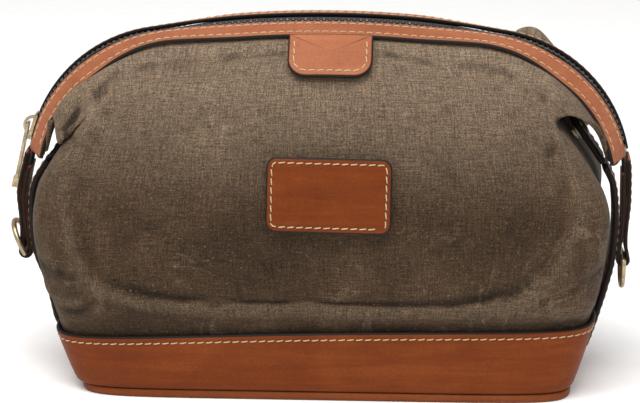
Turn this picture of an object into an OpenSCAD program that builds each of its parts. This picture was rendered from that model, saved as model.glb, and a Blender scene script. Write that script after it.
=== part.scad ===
// Shaving kit bag: waxed canvas body on a leather base, closed by an arched zip.
// Millimetres. The origin is the middle of the underside, +Z is up and -Y is the front.

/* [Base] */
// Half width of the flat bottom panel
bottom_half_w = 118; // [110:1:120]
// Half depth of the flat bottom panel
bottom_half_d = 46.5; // [44:0.5:47]
// Thickness of the bottom panel
bottom_t = 4; // [3:0.5:5]
// Half width of the leather band at its top edge
band_half_w = 134.5; // [133:0.5:135]
// Half depth of the leather band at its top edge
band_half_d = 54.5; // [53.5:0.5:55.5]
// Height of the band's top edge above the ground, in the middle of the front
band_top_z = 35.5; // [34:0.5:37]
// Rise of the band's top edge to the right, per millimetre of width
band_slant = 0.03; // [0:0.01:0.04]
// Thickness of the band's leather
band_t = 2.4; // [1.6:0.2:2.6]

/* [Canvas] */
// Thickness of the waxed canvas
canvas_t = 1.2; // [0.8:0.1:1.4]
// How far the soft middle of the bag leans to its left
waist_lean = 2; // [0:0.5:3]

/* [Zip arch] */
// Height of the zip at the crown of the arch
crown_z = 178.8; // [178:0.1:180]
// Radius of the nearly flat crown
crown_r = 536; // [520:2:550]
// Slope of the zip where the crown meets the shoulder, in degrees
crown_end = 9.53; // [9.3:0.01:9.7]
// Radius of the round shoulder at each end
shoulder_r = 71.7; // [70:0.1:73]
// Slope of the zip where the shoulder meets the hanging tail, in degrees
shoulder_end = 78; // [76:1:79]
// Radius of the hanging tail
tail_r = 170; // [160:5:190]
// Slope of the zip at its tip, in degrees
tail_end = 86.5; // [85:0.5:87]
// Forward tilt of the crown, in degrees
crown_tilt = 6.5; // [0:0.5:8]
// Distance between two teeth of one row
tooth_pitch = 3; // [2.6:0.1:4]
// Slope of the zip where the closed slider stands, in degrees
slider_slope = 71; // [68:0.5:72]

/* [Leather fittings] */
// Width of the side straps
strap_w = 20; // [16:1:21]
// Thickness of the side straps
strap_t = 3; // [2.4:0.1:3.2]
// Width of the leather tab at each end of the zip
end_tab_w = 19; // [15:1:19]
// Width of the front and back finger tabs
finger_tab_w = 41; // [30:1:50]
// Visible length of the front and back finger tabs
finger_tab_len = 25; // [20:1:27]
// Width of the blank label patch
label_w = 60; // [40:1:70]
// Height of the blank label patch
label_h = 36; // [25:1:38]

/* [Metal fittings] */
// Radius of the D-ring's wire
ring_wire_r = 1.4; // [1:0.1:1.6]
// Length of the zip pull from its pivot to its end
pull_len = 33; // [24:1:34]
// Radius of the snap's cap
snap_r = 6; // [5:0.5:7]

/* [Hidden] */
$fn = 48;
eps = 0.01;
RIGHT = 1;
LEFT = -1;
FRONT = -1;
BACK = 1;

// Colours
tan_leather = [0.66, 0.34, 0.17];
dark_leather = [0.16, 0.12, 0.11];
waxed_canvas = [0.42, 0.36, 0.27];
antique_brass = [0.55, 0.47, 0.33];
gunmetal = [0.23, 0.22, 0.22];
tape_black = [0.08, 0.08, 0.08];
lining_tan = [0.55, 0.48, 0.36];

// ---- General functions ------------------------------------------------------------

function smooth(t) = let (c = min(max(t, 0), 1)) c * c * (3 - 2 * c);
function unit(v) = v / norm(v);
function spline(a, b, c, d, t) =
    0.5 * (2 * b + (c - a) * t + (2 * a - 5 * b + 4 * c - d) * t * t
    + (3 * b - a - 3 * c + d) * t * t * t);

// A smooth curve through a list of points, with n steps between neighbours
function curve(pts, n) = let (last = len(pts) - 1) [
    for (i = [0:last - 1]) for (k = [0:n - 1])
        spline(pts[max(i - 1, 0)], pts[i], pts[i + 1], pts[min(i + 2, last)], k / n),
    pts[last]
];

// The soft middle leans sideways. The leather base and the upper part of the zip stand straight.
lean_from_z = 30;
lean_full_z = 70;
lean_fade_z = 90;
lean_end_z = 115;
function lean(z) = -waist_lean * smooth((z - lean_from_z) / (lean_full_z - lean_from_z))
    * (1 - smooth((z - lean_fade_z) / (lean_end_z - lean_fade_z)));

// Every solid sheet is the space between two grids of points with the same counts.
// Grid a is the outer face: the cross product of its row and column steps points out of it.
module sheet(a, b, closed = false) {
    rows = len(a);
    cols = len(a[0]);
    last = closed ? rows - 1 : rows - 2;
    function at(side, i, j) = side * rows * cols + (i % rows) * cols + j;
    function quad(p, q, r, s) = [[p, q, r], [p, r, s]];
    polyhedron(
        points = [for (grid = [a, b]) for (row = grid) for (p = row) p],
        faces = [
            for (i = [0:last]) for (j = [0:cols - 2]) each concat(
                quad(at(0, i, j), at(0, i, j + 1), at(0, i + 1, j + 1), at(0, i + 1, j)),
                quad(at(1, i, j), at(1, i + 1, j), at(1, i + 1, j + 1), at(1, i, j + 1))),
            for (i = [0:last]) each concat(
                quad(at(0, i, 0), at(0, i + 1, 0), at(1, i + 1, 0), at(1, i, 0)),
                quad(at(0, i, cols - 1), at(1, i, cols - 1),
                     at(1, i + 1, cols - 1), at(0, i + 1, cols - 1))),
            if (!closed) for (j = [0:cols - 2]) each concat(
                quad(at(0, 0, j), at(1, 0, j), at(1, 0, j + 1), at(0, 0, j + 1)),
                quad(at(0, rows - 1, j), at(0, rows - 1, j + 1),
                     at(1, rows - 1, j + 1), at(1, rows - 1, j)))
        ]);
}

// ---- Base: bottom panel, band and stiffening board ---------------------------------

// Rounded oblong outline with slightly bulging sides. The angle is that of a ray in a square
// of half width 1, so 45 degrees is the corner.
outline_power = 8;
outline_steps = 72;
corner_crowding = 8.6;
function oblong(half_w, half_d, angle) = let (
    c = cos(angle), s = sin(angle),
    reach = pow(pow(abs(c), outline_power) + pow(abs(s), outline_power), -1 / outline_power)
) [half_w * c * reach, half_d * s * reach];
// The outline's steps crowd together at the corners
function outline_angle(i) = let (a = i * 360 / outline_steps) a + corner_crowding * sin(4 * a);
function oblong_ring(half_w, half_d) =
    [for (i = [0:outline_steps - 1]) oblong(half_w, half_d, outline_angle(i))];

module base_bottom() {
    color(tan_leather) linear_extrude(bottom_t) polygon(oblong_ring(bottom_half_w, bottom_half_d));
}

// The band flares from the bottom seam, fastest near the ground. Its top edge is lower at
// the sides than in front, and lowest on the left.
band_foot_z = bottom_t + 0.1;
band_foot_extra = 5;
band_levels = 4;
band_bow = 0.00012;
function band_top(angle) = let (x = oblong(band_half_w, band_half_d, angle).x)
    band_top_z + band_slant * x - band_bow * x * x;
function band_reach(angle, z) = pow((z - band_foot_z) / (band_top(angle) - band_foot_z), 0.9);
function band_half(reach, foot, top) =
    foot + band_foot_extra + (top - foot - band_foot_extra) * reach;
function band_point(angle, z, inset) = let (
    reach = band_reach(angle, z),
    p = oblong(band_half(reach, bottom_half_w, band_half_w) - inset,
               band_half(reach, bottom_half_d, band_half_d) - inset, angle)
) [p.x, p.y, z];
function band_height(angle, t) = band_foot_z + (band_top(angle) - band_foot_z) * t;
function band_grid(inset) = [
    for (i = [0:outline_steps - 1]) let (a = outline_angle(i))
        [for (k = [0:band_levels]) band_point(a, band_height(a, k / band_levels), inset)]
];

module base_band() {
    color(tan_leather) sheet(band_grid(0), band_grid(band_t), closed = true);
}

board_t = 2;
board_inset = 3;
module base_board() {
    color(dark_leather) translate([0, 0, bottom_t + 0.3])
        linear_extrude(board_t)
            polygon(oblong_ring(bottom_half_w - board_inset, bottom_half_d - board_inset));
}

// ---- Zip arch ------------------------------------------------------------------------

// The zip runs over the bag in the plane y = 0: crown, shoulder and tail are tangent arcs.
// s is the distance along it from the middle, negative on the left.
function ray(angle) = [sin(angle), cos(angle)];
function arc_len(r, from, to) = r * (to - from) * PI / 180;
crown_c = [0, crown_z - crown_r];
shoulder_c = crown_c + (crown_r - shoulder_r) * ray(crown_end);
tail_c = shoulder_c + (shoulder_r - tail_r) * ray(shoulder_end);
crown_len = arc_len(crown_r, 0, crown_end);
shoulder_len = arc_len(shoulder_r, crown_end, shoulder_end);
tail_len = arc_len(tail_r, shoulder_end, tail_end);
shoulder_s = crown_len + shoulder_len;
zip_half = shoulder_s + tail_len;

function right_slope(s) =
    s < crown_len ? s / crown_r * 180 / PI
    : s < shoulder_s ? crown_end + (s - crown_len) / shoulder_r * 180 / PI
    : shoulder_end + (s - shoulder_s) / tail_r * 180 / PI;
function right_point(s) = let (a = right_slope(s))
    s < crown_len ? crown_c + crown_r * ray(a)
    : s < shoulder_s ? shoulder_c + shoulder_r * ray(a)
    : tail_c + tail_r * ray(a);
function slope(s) = sign(s) * right_slope(abs(s));
function zip_point(s) = let (p = right_point(abs(s))) [sign(s) * p.x + lean(p.y), 0, p.y];
function zip_out(s) = let (a = slope(s)) [sin(a), 0, cos(a)];

// The crown tilts forward, and the tilt dies out before the shoulders
tilt_from_s = 40;
tilt_to_s = 88;
function tilt(s) = crown_tilt * (1 - smooth((abs(s) - tilt_from_s) / (tilt_to_s - tilt_from_s)));

// A point at u across the zip (back is positive) and h above its tape. Beyond the chain
// the leather falls away on both sides.
chain_half = 6;
fall = 0.22;
function drop(u) = fall * max(abs(u) - chain_half, 0);
function ribbon(s, u, h) = let (t = tilt(s), k = h - drop(u))
    zip_point(s) + [0, u * cos(t) - k * sin(t), 0] + zip_out(s) * (u * sin(t) + k * cos(t));

trim_low = 0.6;
trim_high = 2.6;
trim_in = 6.5;
trim_out = 19.5;
trim_end_s = zip_half - 24;
trim_steps = 72;
module trim(side) {
    us = side == FRONT ? [-trim_out, -(trim_in + trim_out) / 2, -trim_in]
                       : [trim_in, (trim_in + trim_out) / 2, trim_out];
    ss = [for (i = [0:trim_steps]) trim_end_s * (2 * i / trim_steps - 1)];
    color(tan_leather) sheet([for (s = ss) [for (u = us) ribbon(s, u, trim_high)]],
                             [for (s = ss) [for (u = us) ribbon(s, u, trim_low)]]);
}

tape_low = -0.4;
tape_high = 0.2;
tape_in = 3.3;
tape_out = 12.5;
// The tape narrows before it enters the end tabs
narrow_from_s = zip_half - 36;
narrow_to_s = zip_half - 26;
narrow_out = chain_half + 0.1;
function tape_edge(s) = let (t = smooth((abs(s) - narrow_from_s) / (narrow_to_s - narrow_from_s)))
    tape_out + (narrow_out - tape_out) * t;
function tape_row(side, s, h) = let (us = [tape_edge(s), chain_half, tape_in])
    [for (i = [0:2]) ribbon(s, side * us[side == FRONT ? i : 2 - i], h)];
module zip_tape(side) {
    ss = [for (i = [0:trim_steps]) (zip_half - 1) * (2 * i / trim_steps - 1)];
    color(tape_black) sheet([for (s = ss) tape_row(side, s, tape_high)],
                            [for (s = ss) tape_row(side, s, tape_low)]);
}

module on_zip(s) {
    translate(zip_point(s)) rotate([0, slope(s), 0]) rotate([tilt(s), 0, 0]) children();
}

tooth_len = 1.3;
tooth_in = 0.75;
tooth_out = 3.2;
tooth_half_h = 1.2;
stop_s = zip_half - 26;
teeth_end_s = stop_s - 3;
tooth_count = floor(2 * teeth_end_s / tooth_pitch);
module zip_teeth(side) {
    shift = side == FRONT ? 0 : tooth_pitch / 2;
    color(gunmetal) for (i = [0:tooth_count - 1])
        on_zip(-teeth_end_s + shift + i * tooth_pitch)
            translate([-tooth_len / 2, side == FRONT ? -tooth_out : tooth_in, -tooth_half_h])
                cube([tooth_len, tooth_out - tooth_in, 2 * tooth_half_h]);
}

stop_len = 2.4;
module zip_top_stops() {
    color(antique_brass) on_zip(-stop_s) for (side = [FRONT, BACK])
        translate([-stop_len / 2, side == FRONT ? -tooth_out : tooth_in, -tooth_half_h])
            cube([stop_len, tooth_out - tooth_in, 2 * tooth_half_h]);
}

module zip_bottom_stop() {
    color(antique_brass) on_zip(stop_s)
        translate([-stop_len / 2, -tooth_out, -tooth_half_h])
            cube([stop_len, 2 * tooth_out, 2 * tooth_half_h]);
}

// ---- Slider and pull -------------------------------------------------------------------

slider_s = -(crown_len + arc_len(shoulder_r, crown_end, slider_slope));
slider_len = 13;
slider_half_w = 4.7;
plate_in = 1.6;
plate_out = 2.8;
flange_t = 0.9;
flange_in = 1.1;
web_t = 0.7;
web_len = 4;
bail_r = 5;
bail_t = 1.4;
bail_w = 2.4;
bail_c_h = 2.2;
pivot_r = 0.75;
pivot_h = bail_c_h + bail_r - bail_t - pivot_r - 0.15;

module slider_shell() {
    difference() {
        translate([-slider_len / 2, -slider_half_w, 0])
            cube([slider_len, 2 * slider_half_w, plate_out]);
        translate([-slider_len / 2 - 1, -slider_half_w + flange_t, -1])
            cube([slider_len + 2, 2 * (slider_half_w - flange_t), 1 + plate_in]);
        translate([-slider_len / 2 - 1, -slider_half_w - 1, -1])
            cube([slider_len + 2, 2 * slider_half_w + 2, 1 + flange_in]);
    }
}

module zip_slider() {
    color(antique_brass) on_zip(slider_s) {
        union() {
            slider_shell();
            mirror([0, 0, 1]) slider_shell();
            translate([-slider_len / 2 + 0.5, -web_t / 2, -plate_in - eps])
                cube([web_len, web_t, 2 * (plate_in + eps)]);
            difference() {
                translate([0, bail_w / 2, bail_c_h]) rotate([90, 0, 0]) difference() {
                    cylinder(r = bail_r, h = bail_w);
                    translate([0, 0, -1]) cylinder(r = bail_r - bail_t, h = bail_w + 2);
                }
                translate([-bail_r - 1, -bail_w, -bail_r])
                    cube([2 * bail_r + 2, 2 * bail_w, bail_r + plate_out - eps]);
            }
        }
    }
}

// The pull hangs from the bail, nearly upright, and rests on the leather of the end tab
pull_from_down = 13;
pull_half_w = 3.2;
pull_t = 1.4;
window_len = 5.6;
window_half_w = 1.8;
knob_len = 5;
knob_t = 3;
pull_pivot = zip_point(slider_s) + pivot_h * zip_out(slider_s);

module zip_pull() {
    color(antique_brass) translate(pull_pivot) rotate([0, 90 + pull_from_down, 0]) union() {
        translate([0, pull_half_w, 0]) rotate([90, 0, 0])
            cylinder(r = pivot_r, h = 2 * pull_half_w);
        difference() {
            translate([0, -pull_half_w, -pull_t / 2]) cube([pull_len - 1, 2 * pull_half_w, pull_t]);
            translate([-1, -window_half_w, -pull_t]) cube([window_len + 1, 2 * window_half_w, 2 * pull_t]);
        }
        translate([0, window_half_w + eps, 0]) rotate([90, 0, 0])
            cylinder(r = pivot_r, h = 2 * (window_half_w + eps));
        translate([pull_len - knob_len, -pull_half_w - 0.4, -knob_t / 2])
            cube([knob_len, 2 * pull_half_w + 0.8, knob_t]);
    }
}

// ---- Canvas body -----------------------------------------------------------------------

// The body is one smooth surface through key columns of points. Each column leaves the band
// at its own angle, rises through seven free points and ends at the edge of the zip. These
// six stand in the right front quarter and are mirrored around the bag: the middle of the
// front, the front at 70, the start of the fold, the corner, the side seam and the middle
// of the side, where the canvas is tucked in. At the back the shoulders stand higher.
canvas_edge_u = 16.5;
canvas_edge_h = 0.3;
canvas_end_s = zip_half - 24;
under_zip = [canvas_end_s + 1.5, 0, -1.9];
column_angle = [-90, -62, -51.5, -40.5, -22.4, 0];
seam_edge_h = -0.5;
column_edge = [
    for (s = [0, 60, 112, 148]) [s, -canvas_edge_u, canvas_edge_h],
    [canvas_end_s, -canvas_edge_u, seam_edge_h]
];
column_points = [
    [[0, -58, 50], [0, -60.8, 78], [0, -60, 103], [0, -56, 126],
     [0, -49, 143], [0, -40, 157], [0, -29, 168]],
    [[71.5, -57.5, 50], [72.5, -60.3, 78], [71.5, -59.5, 103], [69, -55, 125],
     [67, -47.5, 141], [64.5, -38.5, 154], [62, -28, 164]],
    [[109, -54.5, 50], [112, -56.5, 78], [110.5, -55, 103], [107, -50.5, 125],
     [103, -44, 141], [102, -36.5, 152], [105, -27, 159]],
    [[131, -44.5, 50], [137, -45, 78], [137.5, -44, 98], [124.5, -42, 122],
     [114, -40, 139], [114, -33, 149], [126, -25, 147]],
    [[135, -23, 50], [139, -23.5, 78], [138, -23, 99], [121.5, -22, 124],
     [109, -20.5, 142], [114, -19, 149.5], [130, -17.5, 135]],
    [[135.5, 0, 50], [139, 0, 78], [137, 0, 101], [121, 0, 124.5],
     [108, 0, 143], [113.5, 0, 150], [130, 0, 134]]
];
shoulder_from_column = 2;
shoulder_from_level = 3;
back_shoulder = [
    [[107.5, -50, 136], [105, -43.5, 158], [105, -36, 166], [105, -27.5, 162.5]],
    [[122, -42, 126], [114, -40.5, 141], [114, -34, 150], [126, -25, 147]]
];
quarter = 5;
half = 2 * quarter;
around = 4 * quarter;
last_level = 9;
canvas_foot_z = 21;
canvas_inset = band_t + 0.5;

// Key columns 0 to 19 go round the bag: 0 is the front, 5 the right, 10 the back, 15 the left
function wrapped(k) = (k + around) % around;
function own(k) = k <= quarter ? k : k <= half ? half - k : k <= 3 * quarter ? k - half : around - k;
function side_x(k) = k <= half ? 1 : -1;
function side_y(k) = k > quarter && k < 3 * quarter ? -1 : 1;
function key_angle(k) = let (a = column_angle[own(k)])
    k <= quarter ? a : k <= half ? -a : k <= 3 * quarter ? 180 + a : 180 - a;
function key_edge(k) = let (e = own(k) == quarter ? under_zip : column_edge[own(k)])
    [side_x(k) * e.x, side_y(k) * e.y, e.z];
function key_point(k, j) = let (
    row = own(k) - shoulder_from_column,
    level = j - shoulder_from_level,
    raised = side_y(k) < 0 && level >= 0 && row >= 0 && row < len(back_shoulder),
    p = raised ? back_shoulder[row][level] : column_points[own(k)][j]
) [side_x(k) * p.x, side_y(k) * p.y, p.z];
angles = [for (k = [0:around - 1]) key_angle(k)];
edges = [for (k = [0:around - 1]) key_edge(k)];
levels = [for (k = [0:around - 1]) [for (j = [0:6]) key_point(k, j)]];

function turned(k) = angles[wrapped(k)] + (k < 0 ? -360 : k >= around ? 360 : 0);
function angle_at(q) = let (i = floor(q))
    spline(turned(i - 1), turned(i), turned(i + 1), turned(i + 2), q - i);
function edge_at(q) = let (i = floor(q))
    spline(edges[wrapped(i - 1)], edges[wrapped(i)], edges[wrapped(i + 1)], edges[wrapped(i + 2)], q - i);
function level_at(q, j) = let (i = floor(q))
    spline(levels[wrapped(i - 1)][j], levels[wrapped(i)][j],
           levels[wrapped(i + 1)][j], levels[wrapped(i + 2)][j], q - i);
function leaning(p) = [p.x + lean(p.z), p.y, p.z];
function control(q, j) =
    j == 0 ? band_point(angle_at(q), canvas_foot_z, canvas_inset)
    : j == 1 ? band_point(angle_at(q), band_top(angle_at(q)), canvas_inset)
    : j == last_level ? let (e = edge_at(q)) ribbon(e.x, e.y, e.z)
    : leaning(level_at(q, j - 2));
function body_point(q, v) = let (j = min(floor(v), last_level - 1), r = (q + around) % around)
    spline(control(r, max(j - 1, 0)), control(r, j), control(r, j + 1),
           control(r, min(j + 2, last_level)), v - j);

// inset is measured inwards from the canvas's outer face
probe = 0.05;
function body_inset(q, v, inset) = let (
    across = body_point(q + probe, v) - body_point(q - probe, v),
    up = body_point(q, min(v + probe, last_level)) - body_point(q, max(v - probe, 0))
) body_point(q, v) - inset * unit(cross(across, up));
function body_grid(qs, vs, inset) = [for (q = qs) [for (v = vs) body_inset(q, v, inset)]];

seam_gap = 0.02;
rise = [for (j = [0:18]) j / 2];
module canvas_panel(from, to, steps) {
    qs = [for (i = [0:steps]) from + seam_gap + (to - from - 2 * seam_gap) * i / steps];
    color(waxed_canvas) sheet(body_grid(qs, rise, 0), body_grid(qs, rise, canvas_t));
}

// The lining ends under the fold at the top
lining_gap = 1.3;
lining_t = 0.6;
lining_columns = 4 * around;
lining_levels = 13;
module lining() {
    qs = [for (i = [0:lining_columns - 1]) i * around / lining_columns];
    vs = [for (j = [0:lining_levels]) j / 2];
    inset = canvas_t + lining_gap;
    color(lining_tan) {
        sheet(body_grid(qs, vs, inset), body_grid(qs, vs, inset + lining_t), closed = true);
        translate([0, 0, bottom_t + board_t + 0.6]) linear_extrude(lining_t)
            polygon(oblong_ring(bottom_half_w - board_inset, bottom_half_d - board_inset));
    }
}

// ---- Finger tabs and label patch -------------------------------------------------------

// Each finger tab is sewn under the edge of a trim and lies on the canvas below it
tab_t = 2.2;
tab_corner = 9;
front_tab_hinge = [3, -21.6, 175.8];
front_tab_slope = 39;
back_tab_hinge = [2, 21.8, 177.9];
back_tab_slope = 46;

module tab_shape() {
    translate([-finger_tab_w / 2, -(finger_tab_len - tab_corner)])
        square([finger_tab_w, finger_tab_len - tab_corner]);
    translate([-finger_tab_w / 2 + tab_corner, -finger_tab_len])
        square([finger_tab_w - 2 * tab_corner, tab_corner + eps]);
    for (side = [LEFT, RIGHT])
        translate([side * (finger_tab_w / 2 - tab_corner), -(finger_tab_len - tab_corner)])
            circle(r = tab_corner);
}

module finger_tab(hinge, angle, turn) {
    color(tan_leather) translate(hinge) rotate([0, 0, turn]) rotate([angle, 0, 0]) union() {
        translate([0, 0, -tab_t / 2]) linear_extrude(tab_t) tab_shape();
        translate([-finger_tab_w / 2, 0, 0]) rotate([0, 90, 0])
            cylinder(r = tab_t / 2, h = finger_tab_w);
    }
}

label_t = 1.8;
label_corner = 5;
label_at = [3.9, -61.6, 106.5];
label_lean = 8;
label_roll = 0.8;
module label_patch() {
    color(tan_leather) translate(label_at) rotate([90 - label_lean, 0, 0]) rotate([0, 0, -label_roll])
        linear_extrude(label_t) {
            square([label_w, label_h - 2 * label_corner], center = true);
            square([label_w - 2 * label_corner, label_h], center = true);
            for (x = [-1, 1]) for (y = [-1, 1])
                translate([x * (label_w / 2 - label_corner), y * (label_h / 2 - label_corner)])
                    circle(r = label_corner);
        }
}

// ---- Side straps and their snaps -------------------------------------------------------

// The strap is sewn to the band, bows out past the canvas and tucks its tip into the fold.
// In the fold, local z points away from the canvas of the tuck and x runs back down it.
tuck = column_points[quarter];
fold_point = tuck[3];
fold_along = unit(tuck[4] - tuck[2]);
fold_out = [fold_along.z, 0, -fold_along.x];
fold_turn = atan2(fold_out.x, fold_out.z);
strap_rise = 5;
snap_to_bend = 20;
snap_to_tip = 10;
strap_bend = fold_point + strap_rise * fold_out - snap_to_bend * fold_along;
strap_gap = 0.3;
function strap_foot(side) = let (angle = side == RIGHT ? 0 : 180) [
    for (t = [0.4, 0.6, 0.8, 1]) let (z = band_height(angle, t))
        [side * band_point(angle, z, 0).x + strap_gap + strap_t / 2, z]
];
strap_rest = [
    [139.6, 47], [143.9, 62], [145.4, 82], [143.6, 98], [strap_bend.x + 1.2, strap_bend.z - 1.9]
];
function placed(side, p) = [side * p.x + lean(p.y), p.y];
function across(a, b) = let (d = unit(b - a)) [d.y, -d.x];
function offset_line(pts, amount) = [
    for (i = [0:len(pts) - 1])
        pts[i] + amount * across(pts[max(i - 1, 0)], pts[min(i + 1, len(pts) - 1)])
];
function reversed(pts) = [for (i = [len(pts) - 1:-1:0]) pts[i]];

module side_strip(side, outline, width) {
    rotate([90, 0, 0]) linear_extrude(width, center = true)
        polygon([for (p = outline) placed(side, p)]);
}

module strap(side) {
    line = curve(concat(strap_foot(side), strap_rest), 4);
    color(dark_leather)
        side_strip(side, concat(offset_line(line, strap_t / 2),
                                reversed(offset_line(line, -strap_t / 2))), strap_w);
}

module in_fold(side) {
    translate([side * fold_point.x + lean(fold_point.z), 0, fold_point.z])
        mirror([side == LEFT ? 1 : 0, 0, 0]) rotate([0, fold_turn, 0]) children();
}

module strap_tip(side) {
    tip_r = strap_w / 2;
    color(tan_leather) in_fold(side) translate([0, 0, strap_rise]) {
        difference() {
            union() {
                translate([0, -strap_w / 2, -strap_t / 2]) cube([snap_to_bend - 0.2, strap_w, strap_t]);
                translate([0, 0, -strap_t / 2]) cylinder(r = tip_r, h = strap_t);
                translate([snap_to_bend - 0.2, strap_w / 2, 0]) rotate([90, 0, 0])
                    cylinder(r = strap_t / 2, h = strap_w);
            }
            translate([0, 0, -strap_t]) cylinder(r = cap_post_r + 0.05, h = 2 * strap_t);
        }
    }
}

// The snap: cap and socket grip the strap, and the stud stands on the tucked canvas
cap_post_r = 1.8;
cap_h = 1.6;
socket_r = 5.2;
socket_in_r = 2.9;
socket_h = 1.5;
stud_r = 2.3;
stud_base_r = 4.2;
stud_base_h = 0.7;
stud_h = 2.7;
stud_gap = 0.45;
socket_gap = 0.07;

module snap_cap(side) {
    sphere_r = (snap_r * snap_r + cap_h * cap_h) / (2 * cap_h);
    color(antique_brass) in_fold(side) translate([0, 0, strap_rise]) union() {
        translate([0, 0, strap_t / 2 + eps]) intersection() {
            cylinder(r = snap_r, h = cap_h);
            translate([0, 0, cap_h - sphere_r]) sphere(r = sphere_r, $fn = 96);
        }
        translate([0, 0, -strap_t / 2 + 0.1]) cylinder(r = cap_post_r, h = strap_t);
    }
}

module snap_socket(side) {
    color(antique_brass) in_fold(side)
        translate([0, 0, strap_rise - strap_t / 2 - socket_gap - socket_h]) difference() {
            cylinder(r = socket_r, h = socket_h);
            translate([0, 0, -1]) cylinder(r = socket_in_r, h = socket_h + 2);
        }
}

module snap_stud(side) {
    color(antique_brass) in_fold(side) translate([0, 0, stud_gap]) {
        cylinder(r = stud_base_r, h = stud_base_h);
        cylinder(r = stud_r, h = stud_h);
    }
}

// ---- End tabs and D-rings ----------------------------------------------------------------

// A leather strip folded over the end of the zip. Each row holds a point of its middle line
// and half the gap between the two layers there; the eye for the D-ring is at the bottom.
end_tab_t = 1.8;
tape_half_gap = 0.5;
ring_eye = [149.3, 61.5];
eye_r = ring_wire_r + 0.35;
end_line = [
    right_point(zip_half - 22), right_point(zip_half - 11), right_point(zip_half - 1),
    [150.1, 83], [149.6, 74], [149.3, 68]
];
end_half_gap = [tape_half_gap, tape_half_gap, tape_half_gap, 0.15, 0.15, 0.6];
bight_steps = 10;
function bight(r) = [for (k = [0:bight_steps]) let (a = 180 * k / bight_steps)
    ring_eye + r * [cos(a), -sin(a)]];
function face_line(from, extra, side) = let (last = len(end_line) - 1) [
    for (i = [from:last])
        end_line[i] + side * (end_half_gap[i] + extra)
            * -across(end_line[max(i - 1, 0)], end_line[min(i + 1, last)])
];

module end_tab(side) {
    outline = concat(
        face_line(0, end_tab_t, 1), bight(eye_r + end_tab_t), reversed(face_line(1, end_tab_t, -1)),
        face_line(1, 0, -1), reversed(bight(eye_r)), reversed(face_line(0, 0, 1)));
    color(tan_leather) side_strip(side, outline, end_tab_w);
}

// D-ring: a straight bar in the eye, two short legs and a half circle. It hangs along -z.
ring_half_w = 11.5;
ring_leg = 3.5;
module d_ring_shape() {
    union() {
        translate([0, ring_half_w, 0]) rotate([90, 0, 0])
            cylinder(r = ring_wire_r, h = 2 * ring_half_w);
        for (y = [-ring_half_w, ring_half_w]) {
            translate([0, y, 0]) sphere(r = ring_wire_r);
            translate([0, y, -ring_leg]) cylinder(r = ring_wire_r, h = ring_leg);
        }
        translate([0, 0, -ring_leg]) rotate([0, 90, 0]) rotate([0, 0, -90])
            rotate_extrude(angle = 180) translate([ring_half_w, 0]) circle(r = ring_wire_r);
    }
}

// The right ring hangs, and the left one is flipped up against its tab
left_ring_turn = 154;
module d_ring(side) {
    turn = side == LEFT ? left_ring_turn : 0;
    color(antique_brass) translate([side * ring_eye.x + lean(ring_eye.y), 0, ring_eye.y])
        rotate([0, turn, 0]) d_ring_shape();
}

// ---- The nodes ---------------------------------------------------------------------------

base_bottom();
base_band();
base_board();
canvas_panel(16, 24, 32);  // front_canvas
canvas_panel(6, 14, 32);  // back_canvas
canvas_panel(14, 16, 8);  // left_gusset
canvas_panel(4, 6, 8);  // right_gusset
lining();
trim(FRONT);  // front_trim
trim(BACK);  // back_trim
zip_tape(FRONT);  // zip_tape_front
zip_tape(BACK);  // zip_tape_back
zip_teeth(FRONT);  // zip_teeth_front
zip_teeth(BACK);  // zip_teeth_back
zip_top_stops();
zip_bottom_stop();
zip_slider();
zip_pull();
finger_tab(front_tab_hinge, front_tab_slope, 0);  // front_tab
finger_tab(back_tab_hinge, back_tab_slope, 180);  // back_tab
label_patch();
strap(LEFT);  // left_strap
strap(RIGHT);  // right_strap
strap_tip(LEFT);  // left_strap_tip
strap_tip(RIGHT);  // right_strap_tip
snap_cap(LEFT);  // left_snap_cap
snap_cap(RIGHT);  // right_snap_cap
snap_socket(LEFT);  // left_snap_socket
snap_socket(RIGHT);  // right_snap_socket
snap_stud(LEFT);  // left_snap_stud
snap_stud(RIGHT);  // right_snap_stud
end_tab(LEFT);  // left_end_tab
end_tab(RIGHT);  // right_end_tab
d_ring(LEFT);  // left_d_ring
d_ring(RIGHT);  // right_d_ring
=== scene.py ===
"""The looks of the shaving kit bag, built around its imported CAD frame.

Shapes are worked out in millimetres, in the frame of the CAD, and every mesh is made in metres.
"""

import math

import bmesh
import bpy
import numpy as np
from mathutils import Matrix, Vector


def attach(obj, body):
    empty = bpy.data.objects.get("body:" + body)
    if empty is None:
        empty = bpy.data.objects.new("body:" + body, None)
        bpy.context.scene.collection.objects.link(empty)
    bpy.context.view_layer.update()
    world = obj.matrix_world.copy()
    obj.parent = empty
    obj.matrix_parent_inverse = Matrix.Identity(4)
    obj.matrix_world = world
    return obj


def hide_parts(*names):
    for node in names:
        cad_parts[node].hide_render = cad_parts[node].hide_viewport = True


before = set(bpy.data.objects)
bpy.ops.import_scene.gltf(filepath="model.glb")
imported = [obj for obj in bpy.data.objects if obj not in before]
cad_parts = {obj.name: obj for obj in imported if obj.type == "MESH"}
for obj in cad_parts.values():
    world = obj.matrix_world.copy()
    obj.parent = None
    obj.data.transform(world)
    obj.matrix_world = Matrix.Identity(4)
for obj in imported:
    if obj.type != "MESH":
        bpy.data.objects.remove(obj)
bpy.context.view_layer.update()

MM = 0.001
FRONT, BACK = -1, 1
LEFT, RIGHT = -1, 1
SIDES = {"left": LEFT, "right": RIGHT}


# ---- Sizes that the CAD sets, in millimetres ----

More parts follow.
